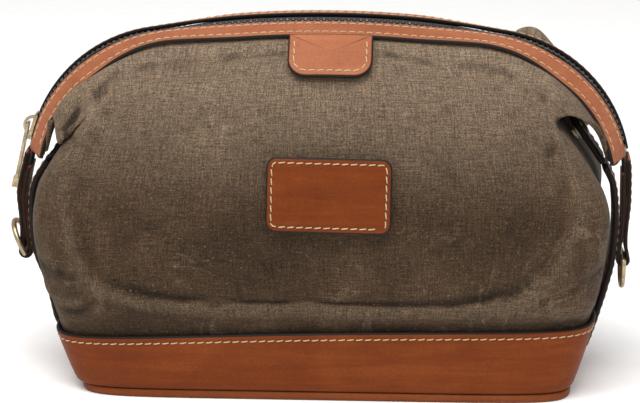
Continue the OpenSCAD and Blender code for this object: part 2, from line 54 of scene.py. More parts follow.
BOTTOM_HALF_W, BOTTOM_HALF_D, BOTTOM_T = 118, 46.5, 4
BAND_HALF_W, BAND_HALF_D, BAND_T = 134.5, 54.5, 2.4
BAND_TOP_Z, BAND_SLANT, BAND_BOW = 35.5, 0.03, 0.00012
BAND_FOOT_Z, BAND_FOOT_EXTRA = 4.1, 5
CANVAS_T = 1.2
WAIST_LEAN = 2
LEAN_FROM_Z, LEAN_FULL_Z, LEAN_FADE_Z, LEAN_END_Z = 30, 70, 90, 115
CROWN_Z, CROWN_R, CROWN_END = 178.8, 536, 9.53
SHOULDER_R, SHOULDER_END = 71.7, 78
TAIL_R, TAIL_END = 170, 86.5
CROWN_TILT = 6.5
TOOTH_PITCH = 3
STRAP_W, STRAP_T = 20, 3
END_TAB_W = 19
FINGER_TAB_W = 41
LABEL_W, LABEL_H = 60, 36


# ---- Curves ----

def smooth(t):
    """A soft step from 0 to 1 as t goes from 0 to 1."""
    t = min(max(t, 0), 1)
    return t * t * (3 - 2 * t)


def unit(v):
    return v / np.linalg.norm(v)


def spline(a, b, c, d, t):
    """A point between b and c, at the share t of the way, of a curve through all four."""
    return 0.5 * (2 * b + (c - a) * t + (2 * a - 5 * b + 4 * c - d) * t * t
                  + (3 * b - a - 3 * c + d) * t ** 3)


def curve(points, steps):
    """A smooth curve through points, with that many steps between neighbours."""
    pts = [np.array(p, float) for p in points]
    last = len(pts) - 1
    made = [spline(pts[max(i - 1, 0)], pts[i], pts[i + 1], pts[min(i + 2, last)], k / steps)
            for i in range(last) for k in range(steps)]
    return made + [pts[last]]


def lengths(points):
    """Distance along a line of points, at each point."""
    pts = np.array(points, float)
    return np.concatenate([[0], np.cumsum(np.linalg.norm(np.diff(pts, axis=0), axis=1))])


def at_length(at, along, values):
    """Values that a line has at its points, worked out at one or more distances along it."""
    return np.array([np.interp(at, along, values[:, k]) for k in range(values.shape[1])]).T


def spread(points, count):
    """That many points, evenly spaced along a line."""
    pts = np.array(points, float)
    along = lengths(pts)
    return at_length(np.linspace(0, along[-1], count), along, pts)


def resample(points, step):
    """Points evenly spaced along a line, about step apart."""
    return spread(points, max(1, round(lengths(points)[-1] / step)) + 1)


def ring_of(line, step):
    """Evenly spaced points of a closed outline, without its last point, which is also its first."""
    return [tuple(p) for p in resample(line, step)[:-1]]


def arc(x, y, r, start, end, steps):
    """Points of an arc around (x, y), anticlockwise between two angles in degrees."""
    return [(x + r * math.cos(a), y + r * math.sin(a))
            for a in np.radians(np.linspace(start, end, steps + 1))]


def lean(z):
    """How far the soft middle of the bag leans to one side at the height z."""
    rise = smooth((z - LEAN_FROM_Z) / (LEAN_FULL_Z - LEAN_FROM_Z))
    return -WAIST_LEAN * rise * (1 - smooth((z - LEAN_FADE_Z) / (LEAN_END_Z - LEAN_FADE_Z)))


# ---- The zip's arch ----

def ray(angle):
    """Direction at an angle from straight up, as (sideways, up)."""
    a = math.radians(angle)
    return np.array([math.sin(a), math.cos(a)])


def arc_len(r, start, end):
    return r * math.radians(end - start)


CROWN_C = np.array([0, CROWN_Z - CROWN_R])
SHOULDER_C = CROWN_C + (CROWN_R - SHOULDER_R) * ray(CROWN_END)
TAIL_C = SHOULDER_C + (SHOULDER_R - TAIL_R) * ray(SHOULDER_END)
CROWN_LEN = arc_len(CROWN_R, 0, CROWN_END)
SHOULDER_S = CROWN_LEN + arc_len(SHOULDER_R, CROWN_END, SHOULDER_END)
ZIP_HALF = SHOULDER_S + arc_len(TAIL_R, SHOULDER_END, TAIL_END)
CHAIN_HALF = 6
FALL = 0.22
TILT_FULL_S, TILT_FADE = 40, 48
# The front trim falls and sinks more at the shoulders than in the CAD, to show the chain above it
SHOULDER_FROM_S, SHOULDER_FADE = 75, 50
SHOULDER_FALL = 0.33
SHOULDER_SINK = 0.7
TRIM_IN, TRIM_OUT = 6.5, 19.5
TRIM_LOW, TRIM_HIGH = 0.6, 2.6
TRIM_END_S = ZIP_HALF - 24


def slope(s):
    """Slope of the zip at the distance s from its middle, in degrees."""
    d = abs(s)
    if d < CROWN_LEN:
        a = math.degrees(d / CROWN_R)
    elif d < SHOULDER_S:
        a = CROWN_END + math.degrees((d - CROWN_LEN) / SHOULDER_R)
    else:
        a = SHOULDER_END + math.degrees((d - SHOULDER_S) / TAIL_R)
    return math.copysign(a, s)


def zip_point(s):
    """The point on the middle of the zip at the distance s from its own middle."""
    d = abs(s)
    r = ray(abs(slope(s)))
    if d < CROWN_LEN:
        p = CROWN_C + CROWN_R * r
    elif d < SHOULDER_S:
        p = SHOULDER_C + SHOULDER_R * r
    else:
        p = TAIL_C + TAIL_R * r
    return np.array([math.copysign(p[0], s) + lean(p[1]), 0, p[1]])


def zip_out(s):
    a = ray(slope(s))
    return np.array([a[0], 0, a[1]])


def zip_along(s):
    a = ray(slope(s))
    return np.array([a[1], 0, -a[0]])


def tilt(s):
    """How far the zip tips forwards, in radians."""
    return math.radians(CROWN_TILT) * (1 - smooth((abs(s) - TILT_FULL_S) / TILT_FADE))


def shoulder(s):
    """0 over the crown and 1 along the shoulders and tails."""
    return smooth((abs(s) - SHOULDER_FROM_S) / SHOULDER_FADE)


def drop(s, u):
    """How far the leather falls below the zip. The front falls more at the shoulders."""
    return FALL * max(abs(u) - CHAIN_HALF, 0) + SHOULDER_FALL * shoulder(s) * max(-u - 3, 0)


def ribbon(s, u, h):
    """The point u across the zip (back is positive) and h above its tape."""
    t = tilt(s)
    k = h - drop(s, u)
    across = u * math.cos(t) - k * math.sin(t)
    return (zip_point(s) + np.array([0, across, 0])
            + zip_out(s) * (u * math.sin(t) + k * math.cos(t)))


# ---- The canvas body ----

# The band's corners are rounder at its top than in the CAD
FOOT_POWER, TOP_POWER = 8, 5.5
FLARE_POWER = 0.9
CORNER_CROWDING = 8.6
CANVAS_FOOT_Z = 21
CANVAS_INSET = BAND_T + 0.5
CANVAS_END_S = ZIP_HALF - 24
COLUMN_ANGLE = [-90, -62, -51.5, -40.5, -22.4, 0]
COLUMN_EDGE = [[s, -16.5, 0.3] for s in (0, 60, 112, 148)]
COLUMN_EDGE += [[CANVAS_END_S, -16.5, -0.5], [CANVAS_END_S + 1.5, 0, -1.9]]
# Points of a quarter's six columns, from the front middle to the side. In columns 3 and 4 the
# points from the fold up come from FOLDED_COLUMNS.
COLUMN_POINTS = [
    [[0, -58, 50], [0, -60.8, 78], [0, -60, 103], [0, -56, 126],
     [0, -49, 143], [0, -40, 157], [0, -29, 168]],
    [[71.5, -57.5, 50], [72.5, -60.3, 78], [71.5, -59.5, 103], [69, -55, 125],
     [67, -47.5, 141], [64.5, -38.5, 154], [62, -28, 164]],
    [[109, -54.5, 50], [112, -56.5, 78], [110.5, -55, 103], [107, -50.5, 125],
     [103, -44, 141], [102, -36.5, 152], [105, -27, 159]],
    [[131, -44.5, 50], [137, -45, 78], [137.5, -44, 98]],
    [[135, -23, 50], [139, -23.5, 78], [138, -23, 99]],
    [[135.5, 0, 50], [139, 0, 78], [137, 0, 101], [121, 0, 124.5],
     [108, 0, 143], [113.5, 0, 150], [130, 0, 134]],
]
LEVELS_BELOW_FOLD = 3
# At each fold the canvas above hangs down over the canvas below. The back folds are closed on
# both sides and the front one on the left, and the right front fold stands open. Beside each back
# fold the canvas rises into an ear.
CLOSED_BACK = {
    3: [[131, -42, 115], [122, -39, 130], [128, -38, 127], [131, -27, 139]],
    4: [[129, -22, 116], [122, -20.5, 127], [128, -20, 124], [134, -17, 132]],
}
CLOSED_FRONT = {
    3: [[132, -43.5, 115], [118, -39, 136], [126, -44, 128], [128.5, -32, 140.5]],
    4: [[128, -23, 118], [115, -20.5, 136], [125, -25, 126], [133.5, -18, 131.5]],
}
OPEN_FRONT = {
    3: [[123.5, -42, 121], [112, -39, 136.5], [117, -36, 141], [126, -31, 138.5]],
    4: [[121.5, -22, 124], [109, -20.5, 141], [115, -20, 144], [132, -20, 131]],
}
RIGHT_EAR = {2: [[107.5, -50, 140], [106, -45, 161], [105, -38, 172], [104, -28, 168]]}
LEFT_EAR = {2: [[107, -50, 138], [103, -45, 159], [98, -37, 169], [97, -28, 166]]}
FOLDED_COLUMNS = {3: OPEN_FRONT, 4: OPEN_FRONT, 6: CLOSED_BACK, 7: CLOSED_BACK, 8: RIGHT_EAR,
                  12: LEFT_EAR, 13: CLOSED_BACK, 14: CLOSED_BACK, 16: CLOSED_FRONT, 17: CLOSED_FRONT}
QUARTER = 5
HALF = 2 * QUARTER
AROUND = 4 * QUARTER
LAST_LEVEL = 9


def oblong(half_w, half_d, angle, power=FOOT_POWER):
    """A point of a rounded oblong. 45 degrees is its corner."""
    c, s = math.cos(math.radians(angle)), math.sin(math.radians(angle))
    reach = (abs(c) ** power + abs(s) ** power) ** (-1 / power)
    return np.array([half_w * c * reach, half_d * s * reach])


def outline_angles(count):
    """Angles around the oblong, crowded together at its corners."""
    even = np.arange(count) * 360 / count
    return even + CORNER_CROWDING * np.sin(np.radians(4 * even))


def band_top(angle):
    """Height of the band's top edge."""
    x = oblong(BAND_HALF_W, BAND_HALF_D, angle, TOP_POWER)[0]
    return BAND_TOP_Z + BAND_SLANT * x - BAND_BOW * x * x


def band_point(angle, z, inset):
    """A point of the band's outer face at the height z, moved inwards."""
    reach = max((z - BAND_FOOT_Z) / (band_top(angle) - BAND_FOOT_Z), 0) ** FLARE_POWER
    halves = [foot + BAND_FOOT_EXTRA + (top - foot - BAND_FOOT_EXTRA) * reach - inset
              for foot, top in ((BOTTOM_HALF_W, BAND_HALF_W), (BOTTOM_HALF_D, BAND_HALF_D))]
    power = FOOT_POWER + (TOP_POWER - FOOT_POWER) * reach
    return np.array([*oblong(*halves, angle, power), z])


def key_column(k):
    """Angle at the band, edge at the zip and seven free points of key column k, 0 to 19."""
    quarter, step = divmod(k, QUARTER)
    mirrored = quarter % 2
    own = QUARTER - step if mirrored else step
    signs = (1 if quarter < 2 else -1, -1 if quarter in (1, 2) else 1, 1)
    angle = (-COLUMN_ANGLE[own] if mirrored else COLUMN_ANGLE[own]) + (180 if quarter > 1 else 0)
    points = COLUMN_POINTS[own]
    if k in FOLDED_COLUMNS:
        points = points[:LEVELS_BELOW_FOLD] + FOLDED_COLUMNS[k][own]
    return angle, np.array(COLUMN_EDGE[own]) * signs, np.array(points, float) * signs


KEYS = [key_column(k) for k in range(AROUND)]


def around(q, part):
    """One part of the key columns, carried smoothly around the bag to the place q."""
    i = math.floor(q)
    values = []
    for k in range(i - 1, i + 3):
        value = KEYS[k % AROUND][part]
        if part == 0:
            value = value + 360 * (k // AROUND)
        values.append(value)
    return spline(*values, q - i)


def control(q):
    """The ten points that the column at q runs through, from the band to the zip."""
    angle = around(q, 0)
    edge = around(q, 1)
    points = [band_point(angle, CANVAS_FOOT_Z, CANVAS_INSET),
              band_point(angle, band_top(angle), CANVAS_INSET)]
    points += [p + np.array([lean(p[2]), 0, 0]) for p in around(q, 2)]
    under_trim = (SHOULDER_SINK + 0.3) * shoulder(edge[0]) if edge[1] < 0 else 0
    return points + [ribbon(edge[0], edge[1], edge[2] - under_trim)]


def column(q, levels):
    """Points of the canvas at q and at each level from 0, at the foot, to 9, at the zip."""
    pts = control(q)
    made = []
    for v in levels:
        j = min(int(v), LAST_LEVEL - 1)
        made.append(spline(pts[max(j - 1, 0)], *pts[j:j + 2], pts[min(j + 2, LAST_LEVEL)], v - j))
    return made


# ---- Meshes ----

def add_object(name, data):
    thing = bpy.data.objects.new(name, data)
    bpy.context.scene.collection.objects.link(thing)
    return thing


def mesh_piece(name, points, faces, material, uvs=None, marks=None, flat=False):
    """A mesh in metres from points in millimetres. uvs and marks are one per point."""
    mesh = bpy.data.meshes.new(name)
    mesh.from_pydata((np.array(points, float) * MM).tolist(), [], [list(f) for f in faces])
    mesh.validate()
    if uvs is not None:
        layer = mesh.uv_layers.new(name="cloth")
        per_corner = np.array(uvs, float)[[loop.vertex_index for loop in mesh.loops]] * MM
        layer.data.foreach_set("uv", per_corner.ravel())
    for mark, values in (marks or {}).items():
        attribute = mesh.attributes.new(mark, "FLOAT", "POINT")
        attribute.data.foreach_set("value", np.array(values, np.float32))
    if not flat:
        mesh.polygons.foreach_set("use_smooth", [True] * len(mesh.polygons))
    mesh.update()
    mesh.materials.append(material)
    return add_object(name, mesh)


def place(piece, body, slot, *nodes):
    """piece moves with body and stands for the nodes. slot is not used."""
    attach(piece, body)
    if nodes:
        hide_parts(*nodes)
    return piece


def grid_faces(rows, cols, wrap_rows=False, wrap_cols=False, start=0):
    """Faces of a grid of points held row by row."""
    return [(start + i * cols + j, start + ((i + 1) % rows) * cols + j,
             start + ((i + 1) % rows) * cols + (j + 1) % cols, start + i * cols + (j + 1) % cols)
            for i in range(rows if wrap_rows else rows - 1)
            for j in range(cols if wrap_cols else cols - 1)]


def grid_normals(grid, wrap_rows=False):
    """Unit normals of a grid of points: the cross product of its row and column steps."""
    if wrap_rows:
        down = np.roll(grid, -1, axis=0) - np.roll(grid, 1, axis=0)
    else:
        down = np.gradient(grid, axis=0)
    normals = np.cross(down, np.gradient(grid, axis=1))
    return normals / np.maximum(np.linalg.norm(normals, axis=2, keepdims=True), 1e-9)


def grid_lengths(grid):
    """Distances along the rows and columns of a grid, for a weave that isn't stretched."""
    rows, cols = grid.shape[:2]
    middle = cols // 2
    across = lengths(grid[:, middle])
    up = np.stack([lengths(grid[i]) for i in range(rows)])
    return np.stack([np.repeat(across[:, None], cols, axis=1), up], axis=2)


def shell(name, outer, thickness, material, marks=None, wrap=False, normals=None):
    """A sheet of that thickness under a grid of outer points, closed all round."""
    rows, cols = outer.shape[:2]
    if normals is None:
        normals = grid_normals(outer, wrap)
    inner = outer - thickness * normals
    count = rows * cols
    points = np.concatenate([outer.reshape(-1, 3), inner.reshape(-1, 3)])
    faces = grid_faces(rows, cols, wrap)
    faces += [tuple(count + v for v in reversed(f)) for f in faces]
    last = rows if wrap else rows - 1
    for i in range(last):
        k = (i + 1) % rows
        for j, turn in ((0, 1), (cols - 1, -1)):
            quad = (i * cols + j, count + i * cols + j, count + k * cols + j, k * cols + j)
            faces.append(quad[::-turn])
    if not wrap:
        for j in range(cols - 1):
            for i, turn in ((0, -1), (rows - 1, 1)):
                quad = (i * cols + j, count + i * cols + j, count + i * cols + j + 1, i * cols + j + 1)
                faces.append(quad[::-turn])
    uvs = grid_lengths(outer).reshape(-1, 2)
    doubled = {k: np.concatenate([v.ravel(), v.ravel()]) for k, v in (marks or {}).items()}
    return mesh_piece(name, points, faces, material, np.concatenate([uvs, uvs]), doubled)


def sweep(name, rings, profile, material):
    """A solid skin over rings of points that follow a profile, with capped ends."""
    rings = np.array(rings, float)
    rows, cols = rings.shape[:2]
    faces = grid_faces(rows, cols, False, True)
    faces += [tuple(range(cols)), tuple(reversed(range((rows - 1) * cols, rows * cols)))]
    uvs = np.stack([np.repeat(lengths(rings.mean(axis=1))[:, None], cols, axis=1),
                    np.repeat(lengths(rings[0])[None, :], rows, axis=0)], axis=2)
    marks = {"edge": np.tile([mark for _, _, mark in profile], rows)}
    piece = mesh_piece(name, rings.reshape(-1, 3), faces, material, uvs.reshape(-1, 2), marks)
    fix_normals(piece)
    return piece


GROOVE_DEPTH, GROOVE_HALF_W = 0.28, 0.55


def strip_profile(width, thickness, stitch_at, round_r=0.7, dome=0.15):
    """Outline of a leather strip's cross-section as (across, out, edge mark) rows.

    The outer face is slightly domed and dips along the stitch lines at both sides.
    """
    grooves = (-stitch_at, stitch_at)
    half_w, half_t = width / 2, thickness / 2
    r = min(round_r, half_t * 0.95)
    across = sorted({round(x, 3) for x in np.linspace(-half_w + r, half_w - r, 9)}
                    | {round(g + d, 3) for g in grooves for d in (-0.9, -0.35, 0.35, 0.9)
                       if abs(g + d) < half_w - r})
    top = []
    for x in across:
        dip = sum(GROOVE_DEPTH * math.exp(-((x - g) / GROOVE_HALF_W) ** 2) for g in grooves)
        top.append((x, half_t + dome * (1 - (x / half_w) ** 2) - dip, 0.0))
    right = [(half_w - r + r * math.sin(a), half_t - r + r * math.cos(a), 1.0)
             for a in np.radians((35, 65, 90))]
    right += [(half_w - r + r * math.cos(a), -half_t + r - r * math.sin(a), 1.0)
              for a in np.radians((0, 45))]
    bottom = [(half_w - r, -half_t, 0.6), (0, -half_t, 0.0), (-half_w + r, -half_t, 0.6)]
    left = [(-x, y, m) for x, y, m in reversed(right)]
    return top + right + bottom + left


def leather_strip(name, path, out, profile, material):
    """A strip along path, as wide as its profile from front to back. out is its face's direction."""
    rings = [[p + (0, x, 0) + o * y for x, y, _ in profile] for p, o in zip(path, out)]
    return sweep(name, rings, profile, material)


def offset_outline(outline, inset):
    """An outline of 2-D points moved inwards."""
    pts = np.array(outline, float)
    along = np.roll(pts, -1, axis=0) - np.roll(pts, 1, axis=0)
    inwards = np.stack([-along[:, 1], along[:, 0]], axis=1)
    return pts + inset * inwards / np.linalg.norm(inwards, axis=1, keepdims=True)


def slab(name, outline, thickness, put, material, stitch_inset=None):
    """A flat piece of leather with round edges. put(x, y, h) places a point of it."""
    edge_r = min(0.8, thickness * 0.45)
    half_t = thickness / 2
    rows = [(edge_r, -half_t, 0.8), (0.15, -half_t + edge_r * 0.6, 1.0), (0, 0, 1.0),
            (0.12, half_t - edge_r * 0.65, 1.0), (edge_r * 0.8, half_t - 0.08, 0.8),
            (edge_r * 1.6, half_t, 0.25)]
    if stitch_inset:
        rows += [(stitch_inset - 0.8, half_t + 0.02, 0.1), (stitch_inset, half_t - 0.22, 0.1),
                 (stitch_inset + 0.8, half_t + 0.03, 0.0)]
    rings = [[(x, y, h) for x, y in offset_outline(outline, inset)] for inset, h, _ in rows]
    rim = offset_outline(outline, rows[-1][0])
    centre = rim.mean(axis=0)
    shares = (0.85, 0.68, 0.5, 0.33, 0.17)
    rings += [[(x, y, half_t) for x, y in centre + (rim - centre) * share] for share in shares]
    count = len(outline)
    marks = np.repeat([mark for _, _, mark in rows] + [0.0] * len(shares), count)
    points = [put(*p) for ring in rings for p in ring] + [put(*centre, half_t)]
    faces = grid_faces(len(rings), count, False, True)
    top = len(points) - 1
    faces += [(top - count + j, top, top - count + (j + 1) % count) for j in range(count)]
    faces.append(tuple(range(count)))
    piece = mesh_piece(name, points, faces, material, None, {"edge": [*marks, 0.0]})
    fix_normals(piece)
    return piece


def fix_normals(piece):
    mesh = bmesh.new()
    mesh.from_mesh(piece.data)
    bmesh.ops.recalc_face_normals(mesh, faces=mesh.faces)
    mesh.to_mesh(piece.data)
    mesh.free()


def rounded_rectangle(half_w, half_h, r):
    """Outline with round corners, anticlockwise."""
    x, y = half_w - r, half_h - r
    line = arc(x, -y, r, -90, 0, 8) + arc(x, y, r, 0, 90, 8)
    line += arc(-x, y, r, 90, 180, 8) + arc(-x, -y, r, 180, 270, 8)
    return ring_of(line + line[:1], 1.6)


# ---- Stitches ----

STITCH_PITCH = 4.3
STITCH_LEN = 3.3
STITCH_SLANT = 0.12
STITCH_HEIGHT, STITCH_DEPTH = 0.34, 0.18
STITCH_STEPS, STITCH_SIDES = 7, 8
THREAD_R = 0.34
THREAD_TWIST = 3.4


def stitch_row(name, path, normals, body):
    """Saddle stitches along a line: twisted threads that dip into the leather at both ends."""
    path = np.array(path, float)
    normals = np.array(normals, float)
    along = lengths(path)
    count = max(1, int(along[-1] / STITCH_PITCH))
    first = (along[-1] - (count - 1) * STITCH_PITCH) / 2
    points = []
    faces = []
    for n in range(count):
        start = len(points)
        for i in range(STITCH_STEPS + 1):
            t = i / STITCH_STEPS
            at = first + n * STITCH_PITCH + (t - 0.5) * STITCH_LEN
            p = at_length(at, along, path)
            ahead = at_length(at + 0.2, along, path) - p
            if np.linalg.norm(ahead) < 1e-6:
                ahead = p - at_length(at - 0.2, along, path)
            up = unit(at_length(at, along, normals))
            cross = unit(np.cross(up, unit(ahead)))
            lift = STITCH_HEIGHT * math.sin(math.pi * t) ** 0.6 - STITCH_DEPTH
            p = p + up * lift + cross * (t - 0.5) * STITCH_LEN * STITCH_SLANT
            for k in range(STITCH_SIDES):
                a = 2 * math.pi * k / STITCH_SIDES
                r = THREAD_R * (1 + 0.16 * math.cos(2 * (a - THREAD_TWIST * math.pi * t)))
                r *= 0.72 + 0.28 * math.sin(math.pi * t) ** 0.5
                points.append(p + cross * (r * math.cos(a)) + up * (r * math.sin(a)))
        faces += grid_faces(STITCH_STEPS + 1, STITCH_SIDES, False, True, start)
        end = len(points)
        faces += [tuple(range(start, start + STITCH_SIDES)),
                  tuple(reversed(range(end - STITCH_SIDES, end)))]
    place(mesh_piece(name, points, faces, THREAD), body, "tan_leather")


def stitch_slab(name, line, put, thickness, body):
    """Stitches along a line on the face of a slab."""
    path = [np.array(put(x, y, thickness / 2)) for x, y in line]
    normals = [np.array(put(x, y, thickness / 2 + 1)) - p for (x, y), p in zip(line, path)]
    stitch_row(name, path, normals, body)


# ---- Materials ----

class Nodes:
    """Short forms for making a material's node tree."""

    def __init__(self, name):
        self.material = bpy.data.materials.new(name)
        self.material.use_nodes = True
        self.tree = self.material.node_tree
        self.tree.nodes.clear()
        out = self.add("ShaderNodeOutputMaterial")
        self.shader = self.add("ShaderNodeBsdfPrincipled")
        self.link(self.shader.outputs[0], out.inputs["Surface"])

    def add(self, kind, inputs=None, **settings):
        node = self.tree.nodes.new(kind)
        for key, value in settings.items():
            setattr(node, key, value)
        for key, value in (inputs or {}).items():
            if isinstance(value, bpy.types.NodeSocket):
                self.link(value, node.inputs[key])
            else:
                node.inputs[key].default_value = value
        return node

    def link(self, source, target):
        self.tree.links.new(source, target)

    def math(self, operation, a, b=0.0):
        return self.add("ShaderNodeMath", {0: a, 1: b}, operation=operation).outputs[0]

    def noise(self, vector, scale, detail=4.0, roughness=0.6, distortion=0.0):
        node = self.add("ShaderNodeTexNoise", {
            "Vector": vector, "Scale": scale, "Detail": detail,
            "Roughness": roughness, "Distortion": distortion})
        return node.outputs["Fac"]

    def stretch(self, vector, scale):
        return self.add("ShaderNodeVectorMath", {0: vector, 1: scale}, operation="MULTIPLY").outputs[0]

    def ramp(self, value, *stops):
        """A colour or a number by value. Each stop is (position, colour or grey)."""
        node = self.add("ShaderNodeValToRGB", {"Fac": value})
        ramp = node.color_ramp
        while len(ramp.elements) < len(stops):
            ramp.elements.new(0.5)
        for element, (position, colour) in zip(ramp.elements, stops):
            element.position = position
            if isinstance(colour, (int, float)):
                colour = (colour, colour, colour)
            element.color = (*colour, 1)
        return node.outputs["Color"]

    def rise(self, value, low, high):
        """0 below low and 1 above high."""
        return self.ramp(value, (low, 0.0), (high, 1.0))

    def mix(self, factor, a, b, blend="MIX"):
        node = self.add("ShaderNodeMix", data_type="RGBA", blend_type=blend)
        for socket, value in ((node.inputs[0], factor), (node.inputs[6], a), (node.inputs[7], b)):
            if isinstance(value, bpy.types.NodeSocket):
                self.link(value, socket)
            elif isinstance(value, (int, float)):
                socket.default_value = value
            else:
                socket.default_value = (*value, 1)
        return node.outputs[2]

    def mark(self, name):
        return self.add("ShaderNodeAttribute", attribute_name=name).outputs["Fac"]

    def place(self):
        return self.add("ShaderNodeTexCoord").outputs["Object"]

    def cloth(self):
        return self.add("ShaderNodeUVMap", uv_map="cloth").outputs["UV"]

    def bump(self, height, distance, strength=1.0, normal=None):
        inputs = {"Height": height, "Distance": distance, "Strength": strength}
        if normal is not None:
            inputs["Normal"] = normal
        return self.add("ShaderNodeBump", inputs).outputs["Normal"]

    def finish(self, colour, roughness, normal=None, **fixed):
        for key, value in (("Base Color", colour), ("Roughness", roughness), ("Normal", normal)):
            if isinstance(value, bpy.types.NodeSocket):
                self.link(value, self.shader.inputs[key])
            elif value is not None:
                self.shader.inputs[key].default_value = value
        for key, value in fixed.items():
            self.shader.inputs[key.replace("_", " ").title().replace("Ior", "IOR")].default_value = value
        return self.material


def leather(name, dark, middle, light, painted=True, streaks=0.5):
    """Oiled full-grain leather: blotches, streaks, pores, a fine grain and a painted edge."""
    n = Nodes(name)
    at = n.place()
    blotch = n.noise(at, 26, 5, 0.62, 0.6)
    streak = n.noise(n.stretch(at, (14, 60, 190)), 1, 4, 0.65, 0.4)
    body = n.mix(streaks, blotch, streak)
    colour = n.ramp(body, (0.30, dark), (0.5, middle), (0.72, light))
    pores = n.noise(at, 900, 3, 0.7)
    colour = n.mix(0.22, colour, n.ramp(pores, (0.35, 0.25), (0.65, 0.75)), "OVERLAY")
    scuff = n.rise(n.noise(at, 75, 8, 0.75, 1.4), 0.6, 0.72)
    colour = n.mix(n.math("MULTIPLY", scuff, 0.18), colour, light)
    if painted:
        edge = n.rise(n.mark("edge"), 0.45, 0.85)
        colour = n.mix(edge, colour, (0.012, 0.009, 0.008))
    grain = n.add("ShaderNodeTexVoronoi", {"Vector": at, "Scale": 1050.0, "Randomness": 1.0},
                  feature="DISTANCE_TO_EDGE").outputs["Distance"]
    grain = n.rise(grain, 0.0, 0.16)
    normal = n.bump(grain, 0.00006, 0.5)
    normal = n.bump(n.noise(at, 240, 6, 0.6), 0.00035, 0.45, normal)
    roughness = n.ramp(n.mix(0.5, blotch, pores), (0.3, 0.42), (0.7, 0.62))
    return n.finish(colour, roughness, normal, specular_ior_level=0.14, sheen_weight=0.01)


def canvas(name):
    """Waxed cotton canvas: a plain weave with slubs, wax blooms and pale crease marks, with painted shade
    in the bottoms of folds and painted light towards the top.
    """
    n = Nodes(name)
    uv = n.cloth()
    at = n.place()
    parts = n.add("ShaderNodeSeparateXYZ", {"Vector": uv})
    pitch = 0.00062
    wobble = n.math("MULTIPLY", n.noise(uv, 160, 2), 0.0011)
    warp = n.math("SINE", n.math("MULTIPLY", n.math("ADD", parts.outputs[0], wobble), math.pi / pitch))
    weft = n.math("SINE", n.math("MULTIPLY", n.math("ADD", parts.outputs[1], wobble), math.pi / pitch))
    over = n.math("GREATER_THAN", n.math("MULTIPLY", warp, weft), 0.0)
    threads = n.mix(over, n.math("ABSOLUTE", warp), n.math("ABSOLUTE", weft))
    slub_up = n.noise(n.stretch(uv, (1500, 90, 1)), 1, 3, 0.7)
    slub_across = n.noise(n.stretch(uv, (90, 1500, 1)), 1, 3, 0.7)
    slubs = n.mix(0.5, slub_up, slub_across)
    cloud = n.noise(at, 15, 6, 0.62, 0.6)
    colour = n.ramp(cloud, (0.34, (0.032, 0.018, 0.009)), (0.5, (0.048, 0.028, 0.0145)),
                    (0.66, (0.072, 0.044, 0.025)))
    # Painted light: the canvas is painted paler towards the top, standing in for the light that falls on
    # it from above
    height = n.add("ShaderNodeSeparateXYZ", {"Vector": at}).outputs[2]
    painted_top_light = n.rise(n.math("MULTIPLY", height, 5.5), 0.52, 0.92)
    colour = n.mix(n.math("MULTIPLY", painted_top_light, 0.85), colour, (0.165, 0.118, 0.080))
    bloom = (0.19, 0.145, 0.098)
    worn = n.rise(n.mark("crease"), 0.60, 1.0)
    veins = n.noise(at, 24, 4, 0.62, 1.2)
    veins = n.ramp(n.math("ABSOLUTE", n.math("SUBTRACT", veins, 0.5)), (0.0, 1.0), (0.022, 0.0))
    veins = n.math("MULTIPLY", veins, n.rise(n.noise(at, 13, 2), 0.46, 0.60))
    rub = n.math("MAXIMUM", n.math("MULTIPLY", worn, 0.20), n.math("MULTIPLY", veins, 0.36))
    colour = n.mix(rub, colour, bloom)
    # Painted shade: the bottoms of folds, where the crease mark is low, are painted darker
    low = n.ramp(n.mark("crease"), (0.0, 0.30), (0.42, 1.0))
    colour = n.mix(1.0, colour, low, "MULTIPLY")
    colour = n.mix(0.85, colour, n.ramp(slubs, (0.40, 0.24), (0.60, 0.76)), "OVERLAY")
    grain = n.noise(at, 1500, 2, 0.6)
    colour = n.mix(0.8, colour, n.ramp(grain, (0.36, 0.22), (0.64, 0.78)), "OVERLAY")
    colour = n.mix(0.4, colour, n.ramp(threads, (0.0, 0.25), (1.0, 0.7)), "OVERLAY")
    flecks = n.rise(n.noise(uv, 700, 2, 0.5), 0.64, 0.72)
    colour = n.mix(n.math("MULTIPLY", flecks, 0.35), colour, (0.24, 0.19, 0.13))
    normal = n.bump(threads, 0.00012, 0.75)
    normal = n.bump(slubs, 0.00018, 0.5, normal)
    normal = n.bump(n.noise(at, 130, 5, 0.6), 0.0007, 0.35, normal)
    roughness = n.ramp(slubs, (0.3, 0.62), (0.7, 0.82))
    return n.finish(colour, roughness, normal, specular_ior_level=0.12, sheen_weight=0.02,
                    sheen_roughness=0.5)


def thread(name):
    """Waxed cream thread."""
    n = Nodes(name)
    at = n.place()
    fuzz = n.noise(at, 2600, 3, 0.7)
    colour = n.ramp(fuzz, (0.3, (0.34, 0.23, 0.12)), (0.7, (0.56, 0.43, 0.27)))
    return n.finish(colour, 0.62, n.bump(fuzz, 0.0001, 0.6), specular_ior_level=0.3)


def metal(name, dark, light, worn, rough=(0.24, 0.46)):
    """Antique plated metal: tarnish in patches and polish in streaks."""
    n = Nodes(name)
    at = n.place()
    tarnish = n.noise(at, 230, 6, 0.68, 0.5)
    colour = n.ramp(tarnish, (0.32, dark), (0.55, light), (0.8, worn))
    scratches = n.noise(n.stretch(at, (300, 2400, 1300)), 1, 3, 0.7)
    roughness = n.ramp(n.mix(0.5, tarnish, scratches), (0.3, rough[0]), (0.7, rough[1]))
    normal = n.bump(scratches, 0.00003, 0.5)
    return n.finish(colour, roughness, normal, metallic=0.92)


